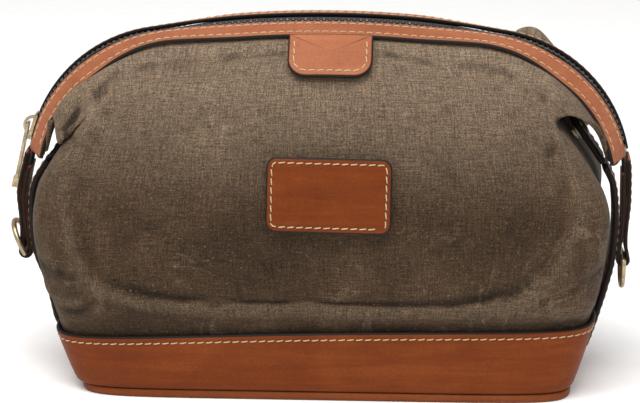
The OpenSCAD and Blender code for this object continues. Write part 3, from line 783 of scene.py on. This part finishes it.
def woven_tape(name, dark, light, pitch=0.0009):
    """A ribbed weave. pitch is the width of a rib in metres."""
    n = Nodes(name)
    uv = n.cloth()
    parts = n.add("ShaderNodeSeparateXYZ", {"Vector": uv})
    rib = n.math("SINE", n.math("MULTIPLY", parts.outputs[1], 2 * math.pi / pitch))
    pick = n.math("SINE", n.math("MULTIPLY", parts.outputs[0], 2 * math.pi / (pitch * 0.7)))
    weave = n.math("MULTIPLY_ADD", n.math("MULTIPLY", rib, pick), 0.5)
    fuzz = n.noise(n.place(), 1600, 3, 0.7)
    colour = n.mix(fuzz, dark, light)
    return n.finish(colour, 0.8, n.bump(n.mix(0.4, weave, fuzz), 0.0002, 0.7), sheen_weight=0.1)


def board_fibre(name):
    """Pressed brown fibre."""
    n = Nodes(name)
    at = n.place()
    fibre = n.noise(n.stretch(at, (200, 900, 900)), 1, 6, 0.7)
    colour = n.ramp(fibre, (0.3, (0.10, 0.07, 0.05)), (0.7, (0.24, 0.18, 0.12)))
    return n.finish(colour, 0.85, n.bump(fibre, 0.0002, 0.5))


def floor_paper(name):
    n = Nodes(name)
    return n.finish(n.ramp(n.noise(n.place(), 60, 4, 0.6), (0.3, 0.93), (0.7, 0.96)), 0.9)


TAN = leather("tan_leather", (0.100, 0.017, 0.001), (0.145, 0.028, 0.002), (0.20, 0.047, 0.007))
TAN_TRIM = leather("tan_trim_leather", (0.21, 0.062, 0.024), (0.28, 0.09, 0.038), (0.35, 0.125, 0.058))
TAN_LIP = leather("tan_lip_leather", (0.12, 0.025, 0.004), (0.17, 0.04, 0.008), (0.22, 0.06, 0.015), False)
STRAP = leather("strap_leather", (0.07, 0.018, 0.007), (0.11, 0.03, 0.011), (0.17, 0.052, 0.02))
CANVAS = canvas("waxed_canvas")
LINING = woven_tape("lining_cloth", (0.30, 0.23, 0.15), (0.46, 0.37, 0.25), 0.0008)
THREAD = thread("cream_thread")
BRASS = metal("antique_brass", (0.20, 0.155, 0.095), (0.42, 0.34, 0.21), (0.66, 0.56, 0.38))
GUNMETAL = metal("gunmetal", (0.035, 0.033, 0.034), (0.10, 0.097, 0.10), (0.30, 0.29, 0.29), (0.2, 0.4))
TAPE = woven_tape("zip_tape", (0.006, 0.006, 0.007), (0.03, 0.028, 0.03))
BOARD = board_fibre("base_board")


# ---- Camera, light and floor ----

CAMERA_TARGET = Vector((-3.5, 0, 87.2)) * MM
CAMERA_AZIMUTH, CAMERA_ELEVATION = 3, 15
CAMERA_DISTANCE = 1.3
LENS = 146.25
LIGHT_TARGET = Vector((0, 0, 90)) * MM
SKY = 0.68
FLOOR_HALF = 6.0
FLOOR_Z = -0.0002


def aim(thing, target, azimuth, elevation, distance):
    """Puts a camera or a light at those angles in degrees from its target, in metres."""
    a, e = math.radians(azimuth), math.radians(elevation)
    back = Vector((math.sin(a) * math.cos(e), -math.cos(a) * math.cos(e), math.sin(e)))
    thing.location = target + back * distance
    thing.rotation_euler = (-back).to_track_quat("-Z", "Y").to_euler()


def add_camera():
    camera = add_object("camera", bpy.data.cameras.new("camera"))
    camera.data.lens = LENS
    camera.data.clip_start, camera.data.clip_end = 0.05, 20
    aim(camera, CAMERA_TARGET, CAMERA_AZIMUTH, CAMERA_ELEVATION, CAMERA_DISTANCE)
    bpy.context.scene.camera = camera


def add_light(name, azimuth, elevation, distance, size, power, colour=(1, 1, 1)):
    light = add_object(name, bpy.data.lights.new(name, "AREA"))
    light.data.shape = "RECTANGLE"
    light.data.size, light.data.size_y = size
    light.data.energy = power
    light.data.color = colour
    aim(light, LIGHT_TARGET, azimuth, elevation, distance)


def add_floor():
    """A flat pale floor, a hair below the bag."""
    mesh = bpy.data.meshes.new("floor")
    corners = [(x * FLOOR_HALF, y * FLOOR_HALF, 0) for x, y in ((-1, -1), (1, -1), (1, 1), (-1, 1))]
    mesh.from_pydata(corners, [], [(0, 1, 2, 3)])
    mesh.materials.append(floor_paper("floor_paper"))
    floor = add_object("floor", mesh)
    floor.location.z = FLOOR_Z


def add_studio():
    world = bpy.data.worlds.new("studio")
    bpy.context.scene.world = world
    world.use_nodes = True
    background = world.node_tree.nodes["Background"]
    background.inputs["Color"].default_value = (1, 1, 1, 1)
    background.inputs["Strength"].default_value = SKY
    add_light("key", -15, 66, 1.5, (1.4, 1.1), 28, (1, 0.98, 0.95))
    add_light("fill", 30, 30, 1.9, (1.4, 1.0), 3)
    bpy.context.scene.view_settings.view_transform = "Standard"


add_camera()
add_floor()
add_studio()


# ---- Base ----

LIP_W, LIP_D = 3.4, 4.4
LIP_SHIFT = 1
BAND_INSIDE = BAND_T - 0.1
PANEL_COUNT, BAND_COUNT = 180, 288
# The band's foot turns in by FOOT_TURN at the bottom seam, where its edge is painted
FOOT_TURN, FOOT_FADE, PAINT_FADE = 1.5, 40, 60
# Rows of the band's outer face, as shares of its height, up to the stitches
BAND_ROWS = (0, 0.03, 0.07, 0.13, 0.21, 0.3, 0.4, 0.5, 0.6, 0.7, 0.78)
STITCH_BELOW_TOP = 3.6


def build_base():
    """The bottom panel and the band around it."""
    # The bottom panel: a soft-edged slab that shows as a lip under the band
    outline = [tuple(oblong(BOTTOM_HALF_W + LIP_W, BOTTOM_HALF_D + LIP_D, a) + (LIP_SHIFT, 0))
               for a in outline_angles(PANEL_COUNT)]
    half_t = BOTTOM_T / 2
    panel = slab("base_bottom_panel", outline, BOTTOM_T,
                 lambda x, y, h: (x, y, half_t + max(min(h, half_t), -half_t)), TAN_LIP)
    place(panel, "root", "tan_leather", "base_bottom")

    # The band: outer face from the bottom seam to the painted top edge, then down inside
    angles = outline_angles(BAND_COUNT)
    tops = np.array([band_top(a) for a in angles])
    rings = []
    marks = []

    def add_ring(heights, inset, mark):
        rings.append([band_point(a, z, inset) for a, z in zip(angles, heights)])
        marks.append(mark)

    for t in BAND_ROWS:
        z = BAND_FOOT_Z + (tops - BAND_FOOT_Z) * t
        add_ring(z, FOOT_TURN * math.exp(-FOOT_FADE * t), math.exp(-PAINT_FADE * t))
    for below, dip in ((1.0, 0), (0, 0.3), (-1.0, 0), (-2.0, 0)):
        add_ring(tops - STITCH_BELOW_TOP - below, dip, 0)
    top_r = BAND_T / 2
    for a in np.radians((25, 60, 90, 120, 155)):
        add_ring(tops - top_r + top_r * math.sin(a), top_r - top_r * math.cos(a), 1)
    for below in (3, 10, 18):
        add_ring(tops - below, BAND_INSIDE, 0)
    add_ring(tops * 0 + BAND_FOOT_Z + 0.3, BAND_INSIDE, 0)
    count = len(angles)
    faces = grid_faces(len(rings), count, False, True)
    last = (len(rings) - 1) * count
    faces += [(j, (j + 1) % count, last + (j + 1) % count, last + j) for j in range(count)]
    band = mesh_piece("base_band_leather", np.array(rings).reshape(-1, 3), faces, TAN, None,
                      {"edge": np.repeat(marks, count)})
    fix_normals(band)
    place(band, "root", "tan_leather", "base_band")

    path = np.array([band_point(a, z - STITCH_BELOW_TOP, 0.1) for a, z in zip(angles, tops)])
    above = np.array([band_point(a, z - STITCH_BELOW_TOP + 1, 0.1) for a, z in zip(angles, tops)])
    ahead = np.roll(path, -1, axis=0) - np.roll(path, 1, axis=0)
    normals = np.cross(ahead, above - path)
    normals /= np.linalg.norm(normals, axis=1, keepdims=True)
    stitch_row("stitches_base_band", np.vstack([path, path[:1]]), np.vstack([normals, normals[:1]]),
               "root")


# ---- Canvas body ----

GRID_AROUND = 240
GRID_UP = 64
FINER = 2
# How far up the canvas the lining goes, its thickness and how far inside the canvas's face it is
LINING_SHARE, LINING_T, LINING_INSET = 0.68, 0.6, 2.6
# How far each row of the canvas beside a seam is drawn in
SEAM_DEPTHS = ((0, 0.9), (1, 0.35), (-1, 0.9), (-2, 0.35))
CLOTH = {
    "quality": 7, "mass": 0.35, "tension_stiffness": 40, "compression_stiffness": 40,
    "shear_stiffness": 18, "bending_stiffness": 4, "tension_damping": 12,
    "compression_damping": 12, "shear_damping": 12, "bending_damping": 1.0, "air_damping": 4,
    "vertex_group_mass": "held", "shrink_min": -0.006, "use_pressure": True,
    "uniform_pressure_force": 1.2,
}
CLOTH_GRAVITY = 0.5
CLOTH_FRAMES = 26
# The cloth is held up to BAND_HOLD above the band and freed over BAND_RELEASE. From the share
# TOP_HOLD of its height up it is held again.
BAND_HOLD, BAND_RELEASE = 3, 12
TOP_HOLD, TOP_RELEASE = 0.93, 0.05
# Columns this near to a side's middle are held from this share of their height up
HELD_COLUMNS, HELD_SHARE = 2.6, 0.5


def canvas_grid():
    """The canvas's outer face as a closed grid, evenly spaced up each column."""
    fine = np.linspace(0, LAST_LEVEL, 145)
    return np.array([spread(column(i * AROUND / GRID_AROUND, fine), GRID_UP)
                     for i in range(GRID_AROUND)])


def upsample(grid, factor, wrap):
    """A finer grid along its first axis, by the same spline."""
    rows = len(grid)
    made = []
    for i in range(rows if wrap else rows - 1):
        near = [(i + d) % rows if wrap else min(max(i + d, 0), rows - 1) for d in (-1, 0, 1, 2)]
        made += [spline(*[grid[k] for k in near], t / factor) for t in range(factor)]
    if not wrap:
        made.append(grid[-1])
    return np.array(made)


def simulate(grid):
    """Cloth that is a little too large for its seams settles into folds."""
    rows, cols = grid.shape[:2]
    mesh = bpy.data.meshes.new("canvas_sim")
    mesh.from_pydata((grid.reshape(-1, 3) * MM).tolist(), [], grid_faces(rows, cols, True))
    piece = add_object("canvas_sim", mesh)
    held = piece.vertex_groups.new(name="held")
    for i in range(rows):
        side = abs((i * AROUND / rows) % HALF - QUARTER)
        for j in range(cols):
            share = j / (cols - 1)
            weight = 1 - smooth((grid[i, j, 2] - BAND_TOP_Z - BAND_HOLD) / BAND_RELEASE)
            weight = max(weight, smooth((share - TOP_HOLD) / TOP_RELEASE))
            if side < HELD_COLUMNS and share > HELD_SHARE:
                weight = 1.0
            held.add([i * cols + j], weight, "REPLACE")
    cloth = piece.modifiers.new("cloth", "CLOTH")
    for key, value in CLOTH.items():
        setattr(cloth.settings, key, value)
    cloth.settings.effector_weights.gravity = CLOTH_GRAVITY
    cloth.collision_settings.use_collision = False
    cloth.collision_settings.use_self_collision = False
    scene = bpy.context.scene
    cloth.point_cache.frame_start = 1
    cloth.point_cache.frame_end = CLOTH_FRAMES
    for number in range(1, CLOTH_FRAMES + 1):
        scene.frame_set(number)
    posed = piece.evaluated_get(bpy.context.evaluated_depsgraph_get())
    co = np.empty(rows * cols * 3)
    posed.data.vertices.foreach_get("co", co)
    settled = co.reshape(rows, cols, 3) / MM
    scene.frame_set(1)
    bpy.data.objects.remove(piece)
    return settled


MOST_OUT, MOST_IN, MOST_ALONG = 2.5, 3.5, 5
SOFTENING = 2


def soften(field):
    """Evens out a field over the grid, a little each time."""
    field = (2 * field + np.roll(field, 1, axis=0) + np.roll(field, -1, axis=0)) / 4
    field[:, 1:-1] = (field[:, :-2] + 2 * field[:, 1:-1] + field[:, 2:]) / 4
    return field


def capped(start, settled):
    """Softens and limits how far each point moved, more tightly outwards."""
    normals = grid_normals(start, True)
    move = settled - start
    out = (move * normals).sum(axis=2, keepdims=True)
    side = move - out * normals
    for _ in range(SOFTENING):
        out = soften(out)
    out = np.where(out > 0, MOST_OUT * np.tanh(out / MOST_OUT), MOST_IN * np.tanh(out / MOST_IN))
    length = np.linalg.norm(side, axis=2, keepdims=True)
    side = side * np.minimum(1, MOST_ALONG / np.maximum(length, 1e-9))
    return start + out * normals + side


# Pinched lines in the cloth: points of the line, half width and depth (negative stands proud)
PINCHES = [
    ([(-97, -40, 163), (-109, -41, 157), (-118, -41, 150), (-122, -42, 141), (-128, -42, 130)], 4.0, 7.0),
    ([(-92, -47, 156), (-104, -46, 149), (-112, -46, 139), (-119, -45, 128)], 6.0, -2.2),
    ([(-110, -33, 163), (-122, -32, 151), (-130, -31, 139)], 5.5, -2.2),
    ([(-139, -40, 66), (-132, -45, 63), (-118, -52, 60)], 4.5, 2.0),
    ([(-137, -36, 53), (-126, -47, 50), (-104, -54, 49)], 5.0, -1.6),
    ([(-130, -44, 42), (-118, -51, 44), (-108, -54, 52)], 3.5, 1.2),
    ([(137, -38, 66), (130, -46, 62), (118, -52, 57)], 4.5, 1.8),
    ([(136, -36, 51), (126, -47, 48), (108, -54, 46)], 5.0, -1.5),
    ([(102, -48, 150), (110, -46, 143), (117, -44, 130)], 5.0, -1.8),
    ([(96, -50, 146), (103, -50, 137), (110, -49, 122)], 4.5, 1.2),
    ([(-60, -52, 136), (-38, -56, 128), (-14, -54, 134)], 6.0, 0.8),
    ([(30, -54, 133), (52, -54, 127), (66, -56, 112)], 6.0, 0.8),
]


def pinched(grid):
    """Presses the pinched lines into the cloth. They fade out towards both ends."""
    normals = grid_normals(grid, True)
    amount = np.zeros(grid.shape[:2])
    for line, width, depth in PINCHES:
        path = np.array(curve(line, 8))
        away = np.linalg.norm(grid[:, :, None, :] - path[None, None, :, :], axis=3)
        nearest = away.argmin(axis=2) / (len(path) - 1)
        amount += depth * np.exp(-(away.min(axis=2) / width) ** 2) * np.sin(np.pi * nearest) ** 0.6
    return grid - amount[:, :, None] * normals


BEND_CONTRAST = 6


# The canvas material pales the crests with wear from this mark and paints shade into the fold bottoms
def bend_mark(grid):
    """0.5 on flat cloth, more on the crest of a fold and less in its bottom."""
    normals = grid_normals(grid, True)
    around_mean = (np.roll(grid, 1, axis=0) + np.roll(grid, -1, axis=0)) / 2
    up_mean = grid.copy()
    up_mean[:, 1:-1] = (grid[:, :-2] + grid[:, 2:]) / 2
    height = ((2 * grid - around_mean - up_mean) * normals).sum(axis=2)
    for _ in range(2):
        height = (height + np.roll(height, 1, axis=0) + np.roll(height, -1, axis=0)) / 3
        height[:, 1:-1] = (height[:, :-2] + height[:, 1:-1] + height[:, 2:]) / 3
    return np.clip(0.5 + height * BEND_CONTRAST, 0, 1)


# The first and last key column of each panel, and the CAD node it stands for
PANELS = {"front": ("front_canvas", 16, 24), "back": ("back_canvas", 6, 14),
          "left_gusset": ("left_gusset", 14, 16), "right_gusset": ("right_gusset", 4, 6)}


def build_canvas():
    """Four panels, cut from one sewn shell, and the lining inside."""
    start = canvas_grid()
    settled = capped(start, simulate(start))
    fine = upsample(settled, FINER, True)
    fine = pinched(upsample(fine.transpose(1, 0, 2), FINER, False).transpose(1, 0, 2))
    marks = bend_mark(fine)
    normals = grid_normals(fine, True)
    per_key = len(fine) // AROUND
    for key, (node, first, last) in PANELS.items():
        rows = [k % len(fine) for k in range(first * per_key, last * per_key + 1)]
        part, part_normals = fine[rows].copy(), normals[rows]
        for i, depth in SEAM_DEPTHS:
            part[i] -= depth * part_normals[i]
        piece = shell("canvas_" + key, part, CANVAS_T, CANVAS, {"crease": marks[rows]},
                      normals=part_normals)
        place(piece, "root", "waxed_canvas", node)
    top = int(fine.shape[1] * LINING_SHARE)
    inner = fine[::3, :top:2] - LINING_INSET * normals[::3, :top:2]
    lining = shell("lining_cloth_body", inner, LINING_T, LINING, wrap=True)
    place(lining, "root", "lining_cloth", "lining")


# ---- Trims and zip ----

TRIM_STITCH = (TRIM_OUT - TRIM_IN) / 2 - 2.6


def build_trims():
    profile = strip_profile(TRIM_OUT - TRIM_IN, TRIM_HIGH - TRIM_LOW, TRIM_STITCH, dome=0.2)
    middle_u, middle_h = (TRIM_IN + TRIM_OUT) / 2, (TRIM_LOW + TRIM_HIGH) / 2
    spots = np.linspace(-TRIM_END_S, TRIM_END_S, 200)
    for name, side in (("front", FRONT), ("back", BACK)):
        sink = [SHOULDER_SINK * shoulder(s) if side == FRONT else 0 for s in spots]
        rings = [[ribbon(s, side * (middle_u + x), middle_h + y - low) for x, y, _ in profile]
                 for s, low in zip(spots, sink)]
        trim = sweep(name + "_trim_leather", rings, profile, TAN_TRIM)
        place(trim, "root", "tan_leather", name + "_trim")
        for row, x in enumerate((-TRIM_STITCH, TRIM_STITCH)):
            u = side * (middle_u + x)
            lows = list(zip(spots, sink))[3:-3]
            path = [ribbon(s, u, TRIM_HIGH - 0.05 - low) for s, low in lows]
            out = [ribbon(s, u, TRIM_HIGH + 1 - low) - p for (s, low), p in zip(lows, path)]
            stitch_row(f"stitches_{name}_trim_{row + 1}", path, out, "root")


TOOTH_LEN = 1.3
# Rows of a tooth: distance from the middle, half height and half width
TOOTH_ROWS = ((3.2, 0.85, 0.62), (2.7, 1.2, 0.65), (1.4, 1.2, 0.65), (0.9, 0.95, 0.60), (0.4, 0.62, 0.42))
TOOTH_WIDEST = 0.65
TOOTH_SIDES = 8
# Height of the tape beside the teeth, and of its inner edge under them
TAPE_H, TAPE_EDGE_H = 0.2, -1.4
TAPE_IN, TAPE_OUT, TAPE_T = 3.3, 12.5, 0.6
# Near the zip's ends the tape narrows under the end tabs
TAPE_NARROWS_S, TAPE_NARROWING = ZIP_HALF - 36, 10
STOP_S = ZIP_HALF - 26
TEETH_END_S = STOP_S - 3


def tooth_points(side):
    """A tooth in its own axes (along, across, up), from its foot on the tape to its nib."""
    rings = []
    for u, high, wide in TOOTH_ROWS:
        lower = [(-wide, -high * 0.75), (-wide * 0.7, -high), (wide * 0.7, -high), (wide, -high * 0.75)]
        ring = lower + [(-x, -h) for x, h in lower]
        rings.append([(x * TOOTH_LEN / 2 / TOOTH_WIDEST, side * u, h) for x, h in ring])
    return rings


def build_teeth(name, side, shift):
    """A row of teeth, which starts a little later by the shift."""
    points, faces = [], []
    rings = tooth_points(side)
    for i in range(int(2 * TEETH_END_S / TOOTH_PITCH)):
        s = -TEETH_END_S + shift + i * TOOTH_PITCH
        t = tilt(s)
        origin, along, out = zip_point(s), zip_along(s), zip_out(s)
        across = np.array([0, math.cos(t), 0]) + out * math.sin(t)
        up = np.array([0, -math.sin(t), 0]) + out * math.cos(t)
        start = len(points)
        points += [origin + along * x + across * u + up * h for ring in rings for x, u, h in ring]
        end = len(points)
        faces += grid_faces(len(rings), TOOTH_SIDES, False, True, start)
        faces += [tuple(range(start, start + TOOTH_SIDES)),
                  tuple(reversed(range(end - TOOTH_SIDES, end)))]
    teeth = mesh_piece(f"teeth_{name}", points, faces, GUNMETAL, flat=True)
    fix_normals(teeth)
    place(teeth, "root", "gunmetal", f"zip_teeth_{name}")


def build_tape(name, side):
    """A tape that dips under its teeth and lies under the trim."""
    grid = []
    for s in np.linspace(-ZIP_HALF + 1, ZIP_HALF - 1, 160):
        narrow = smooth((abs(s) - TAPE_NARROWS_S) / TAPE_NARROWING)
        out_u = TAPE_OUT + (CHAIN_HALF + 0.1 - TAPE_OUT) * narrow
        row = [(0.4, TAPE_EDGE_H), (2.8, TAPE_EDGE_H), (TAPE_IN + 0.1, TAPE_H)]
        row += [(u, TAPE_H) for u in np.linspace(TAPE_IN + 1, out_u, 6)]
        grid.append([ribbon(s, side * u, h) for u, h in (row if side == BACK else row[::-1])])
    tape = shell(f"tape_{name}", np.array(grid), TAPE_T, TAPE)
    place(tape, "root", "zip_tape", f"zip_tape_{name}")


def build_zip():
    for name, side, shift in (("front", FRONT, 0), ("back", BACK, TOOTH_PITCH / 2)):
        build_teeth(name, side, shift)
        build_tape(name, side)


# ---- Finger tabs and label ----

FRONT_TAB_HINGE, FRONT_TAB_SLOPE = (3, -21.6, 175.8), 39
BACK_TAB_HINGE, BACK_TAB_SLOPE = (2, 21.8, 177.9), 46
TAB_T = 2.2
TAB_CORNER = 9
# The tab reaches a little under the trim, and its free end is shorter than in the CAD
TAB_UNDER, FINGER_TAB_LEN = 1.0, 23.5
TAB_STITCH = 3.0
# How fast the tab sags along its length, and how far it bends down at its sides
TAB_SAG, TAB_BEND = 0.0045, 0.5


def tab_edge(inset, top):
    """Down a finger tab's left side, round its foot and up its right side, moved inwards."""
    half = FINGER_TAB_W / 2 - inset
    r = TAB_CORNER - inset
    foot = inset - FINGER_TAB_LEN + r
    corners = arc(-half + r, foot, r, 180, 270, 10) + arc(half - r, foot, r, 270, 360, 10)
    return [(-half, top)] + corners + [(half, top)]


def build_tab(name, hinge, angle, turn):
    """A tab that hangs from its hinge at that angle. turn is 180 degrees for the back one."""
    a = math.radians(angle)
    flip = math.cos(math.radians(turn))

    def put(x, y, h):
        h = h - TAB_SAG * y * y - TAB_BEND * (2 * x / FINGER_TAB_W) ** 2
        out = y * math.cos(a) - h * math.sin(a)
        up = y * math.sin(a) + h * math.cos(a)
        return (hinge[0] + flip * x, hinge[1] + flip * out, hinge[2] + up)

    body = name + "_tab"
    middle = [(0, TAB_UNDER)]
    outline = ring_of(middle + tab_edge(0, TAB_UNDER) + middle, 1.5)
    place(slab(body + "_leather", outline, TAB_T, put, TAN_TRIM), body, "tan_leather", body)
    stitch_slab("stitches_" + body, resample(tab_edge(TAB_STITCH, -TAB_STITCH), 1.0), put, TAB_T, body)


LABEL_AT = (3.9, -61.6, 106.5)
LABEL_T = 1.8
LABEL_LEAN, LABEL_ROLL = math.radians(8), math.radians(0.8)
LABEL_CORNER = 5
LABEL_STITCH = 2.6
# How fast the label curves away, sideways and upwards
LABEL_BOW = (0.0009, 0.0014)


def build_label():
    """A blank patch that leans back with the canvas and follows its curve."""
    def put(x, y, h):
        cos, sin = math.cos(LABEL_ROLL), math.sin(LABEL_ROLL)
        x, y = x * cos + y * sin, y * cos - x * sin
        h = h + LABEL_T / 2 - LABEL_BOW[0] * x * x - LABEL_BOW[1] * y * y
        cos, sin = math.cos(LABEL_LEAN), math.sin(LABEL_LEAN)
        return (LABEL_AT[0] + x, LABEL_AT[1] + y * sin - h * cos, LABEL_AT[2] + y * cos + h * sin)

    outline = rounded_rectangle(LABEL_W / 2, LABEL_H / 2, LABEL_CORNER)
    piece = slab("label_patch_leather", outline, LABEL_T, put, TAN, LABEL_STITCH)
    place(piece, "root", "tan_leather", "label_patch")
    line = offset_outline(outline, LABEL_STITCH)
    stitch_slab("stitches_label", [*line, line[0]], put, LABEL_T, "root")


# ---- Straps, end tabs and metal ----

# The strap goes up the side from the band and bends over into the fold
TUCK = np.array(COLUMN_POINTS[QUARTER], float)
FOLD_POINT = TUCK[3]
FOLD_ALONG = unit(TUCK[4] - TUCK[2])
FOLD_OUT = np.array([FOLD_ALONG[2], 0, -FOLD_ALONG[0]])
STRAP_RISE, SNAP_TO_BEND = 5, 20
STRAP_BEND = FOLD_POINT + STRAP_RISE * FOLD_OUT - SNAP_TO_BEND * FOLD_ALONG
STRAP_REST = [(139.6, 47), (143.9, 62), (145.4, 82), (143.6, 98),
              (STRAP_BEND[0] + 1.2, STRAP_BEND[2] - 1.9)]
STRAP_GAP = 0.3
STRAP_STITCH = STRAP_W / 2 - 2.4


def strap_line(side):
    """From its foot on the band up to the bend, as (distance sideways, height)."""
    angle = 0 if side == RIGHT else 180
    foot = []
    for t in (0.4, 0.6, 0.8, 1):
        z = BAND_FOOT_Z + (band_top(angle) - BAND_FOOT_Z) * t
        foot.append((abs(band_point(angle, z, 0)[0]) + STRAP_GAP + STRAP_T / 2, z))
    return curve(foot + STRAP_REST, 8)


def placed(side, x, z):
    """The point of the bag's middle plane at a distance sideways and a height."""
    return np.array([side * x + lean(z), 0, z])


def stitch_strip(name, path, out, thickness, stitch_at):
    """Both rows of stitches on the face of a strip."""
    for row, y in enumerate((-stitch_at, stitch_at)):
        line = [p + o * (thickness / 2) + (0, y, 0) for p, o in zip(path, out)]
        stitch_row(f"stitches_{name}_{row + 1}", line, out, "root")


def build_straps():
    profile = strip_profile(STRAP_W, STRAP_T, STRAP_STITCH, round_r=1.2)
    for name, side in SIDES.items():
        line = [placed(side, *p) for p in strap_line(side)]
        out = [unit(np.array([d[2], 0, -d[0]])) * side for d in np.gradient(np.array(line), axis=0)]
        strap = leather_strip(name + "_strap_leather", line, out, profile, STRAP)
        place(strap, "root", "strap_leather", name + "_strap")
        stitch_strip(name + "_strap", line[1:-1], out[1:-1], STRAP_T, STRAP_STITCH)
        build_strap_tip(name + "_strap_tip", side)


def build_strap_tip(name, side):
    """The strap's end: straight into the fold, round at its tip, snapped to the canvas."""
    half_w = STRAP_W / 2
    reach = SNAP_TO_BEND - 0.2
    outline = [(reach, -half_w + 0.6), (reach, half_w - 0.6)] + arc(0, 0, half_w, 90, 270, 20)
    outline = ring_of(outline + outline[:1], 1.5)
    origin = placed(side, FOLD_POINT[0], FOLD_POINT[2])
    out = FOLD_OUT * (side, 1, 1)
    back = -FOLD_ALONG * (side, 1, 1)

    def put(x, y, h):
        return origin + out * (STRAP_RISE + h) + back * x + np.array([0, y, 0])

    inset = half_w - STRAP_STITCH
    place(slab(name + "_leather", outline, STRAP_T, put, TAN, inset), name, "strap_leather", name)
    line = [p for p in offset_outline(outline, inset) if p[0] < reach - 3]
    start = max(range(len(line)), key=lambda i: np.linalg.norm(line[i] - line[i - 1]))
    stitch_slab("stitches_" + name, line[start:] + line[:start], put, STRAP_T, name)


def zip_end(back):
    """The zip's middle that far from its end, without the lean: distance sideways and height."""
    p = zip_point(ZIP_HALF - back)
    return p[0] - lean(p[2]), p[2]


END_TAB_T = 1.8
END_TAB_STITCH = END_TAB_W / 2 - 2.2
# The stitches run down the first part of the tab's length
END_TAB_STITCHED = 0.34
RING_EYE = np.array([149.3, 61.5])
EYE_R = 1.4 + 0.35
END_LINE = np.array([zip_end(back) for back in (22, 11, 1)] + [(150.1, 83), (149.6, 74), (149.3, 68)])
END_GAP = np.array([0.5, 0.5, 0.5, 0.15, 0.15, 0.6])


def end_layer(outwards):
    """The middle of the leather on one side of the zip's end, outwards 1 or -1."""
    ahead = np.gradient(END_LINE, axis=0)
    cross = np.stack([-ahead[:, 1], ahead[:, 0]], axis=1)
    cross /= np.linalg.norm(cross, axis=1, keepdims=True)
    return END_LINE + outwards * cross * (END_GAP[:, None] + END_TAB_T / 2)


def build_end_tabs():
    """A leather strip down the outside of the zip's end, around the D-ring and up inside."""
    profile = strip_profile(END_TAB_W, END_TAB_T, END_TAB_STITCH, dome=0.1)
    bight = [RING_EYE + (EYE_R + END_TAB_T / 2) * np.array([math.cos(a), -math.sin(a)])
             for a in np.radians(range(0, 181, 18))]
    flat_line = curve(end_layer(1), 6) + bight + curve(end_layer(-1)[::-1], 6)[:-4]
    for name, side in SIDES.items():
        line = resample([placed(side, *p) for p in flat_line], 1.4)
        out = [-unit(np.array([d[2], 0, -d[0]])) * side for d in np.gradient(line, axis=0)]
        piece = leather_strip(name + "_end_tab_leather", line, out, profile, TAN_TRIM)
        place(piece, "root", "tan_leather", name + "_end_tab")
        reach = int(len(line) * END_TAB_STITCHED)
        stitch_strip(name + "_end_tab", line[:reach], out[:reach], END_TAB_T, END_TAB_STITCH)


FITTING_BEVEL = 0.00025
FITTING_WELD = 0.00001


def finish_cad_nodes():
    """Metal fittings and the board keep their CAD shape, with softened edges."""
    fittings = [f"{side}_{part}" for side in SIDES
                for part in ("snap_cap", "snap_socket", "snap_stud", "d_ring")]
    fittings += ["zip_top_stops", "zip_bottom_stop", "zip_slider", "zip_pull"]
    for name in fittings + ["base_board"]:
        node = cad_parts[name]
        node.data.materials.clear()
        node.data.materials.append(BOARD if name == "base_board" else BRASS)
        weld = node.modifiers.new("weld", "WELD")
        weld.merge_threshold = FITTING_WELD
        bevel = node.modifiers.new("bevel", "BEVEL")
        bevel.width = FITTING_BEVEL
        bevel.segments = 2
        bevel.limit_method = "ANGLE"
        bevel.angle_limit = math.radians(40)


build_base()
build_canvas()
build_trims()
build_zip()
build_tab("front", FRONT_TAB_HINGE, FRONT_TAB_SLOPE, 0)
build_tab("back", BACK_TAB_HINGE, BACK_TAB_SLOPE, 180)
build_label()
build_straps()
build_end_tabs()
finish_cad_nodes()
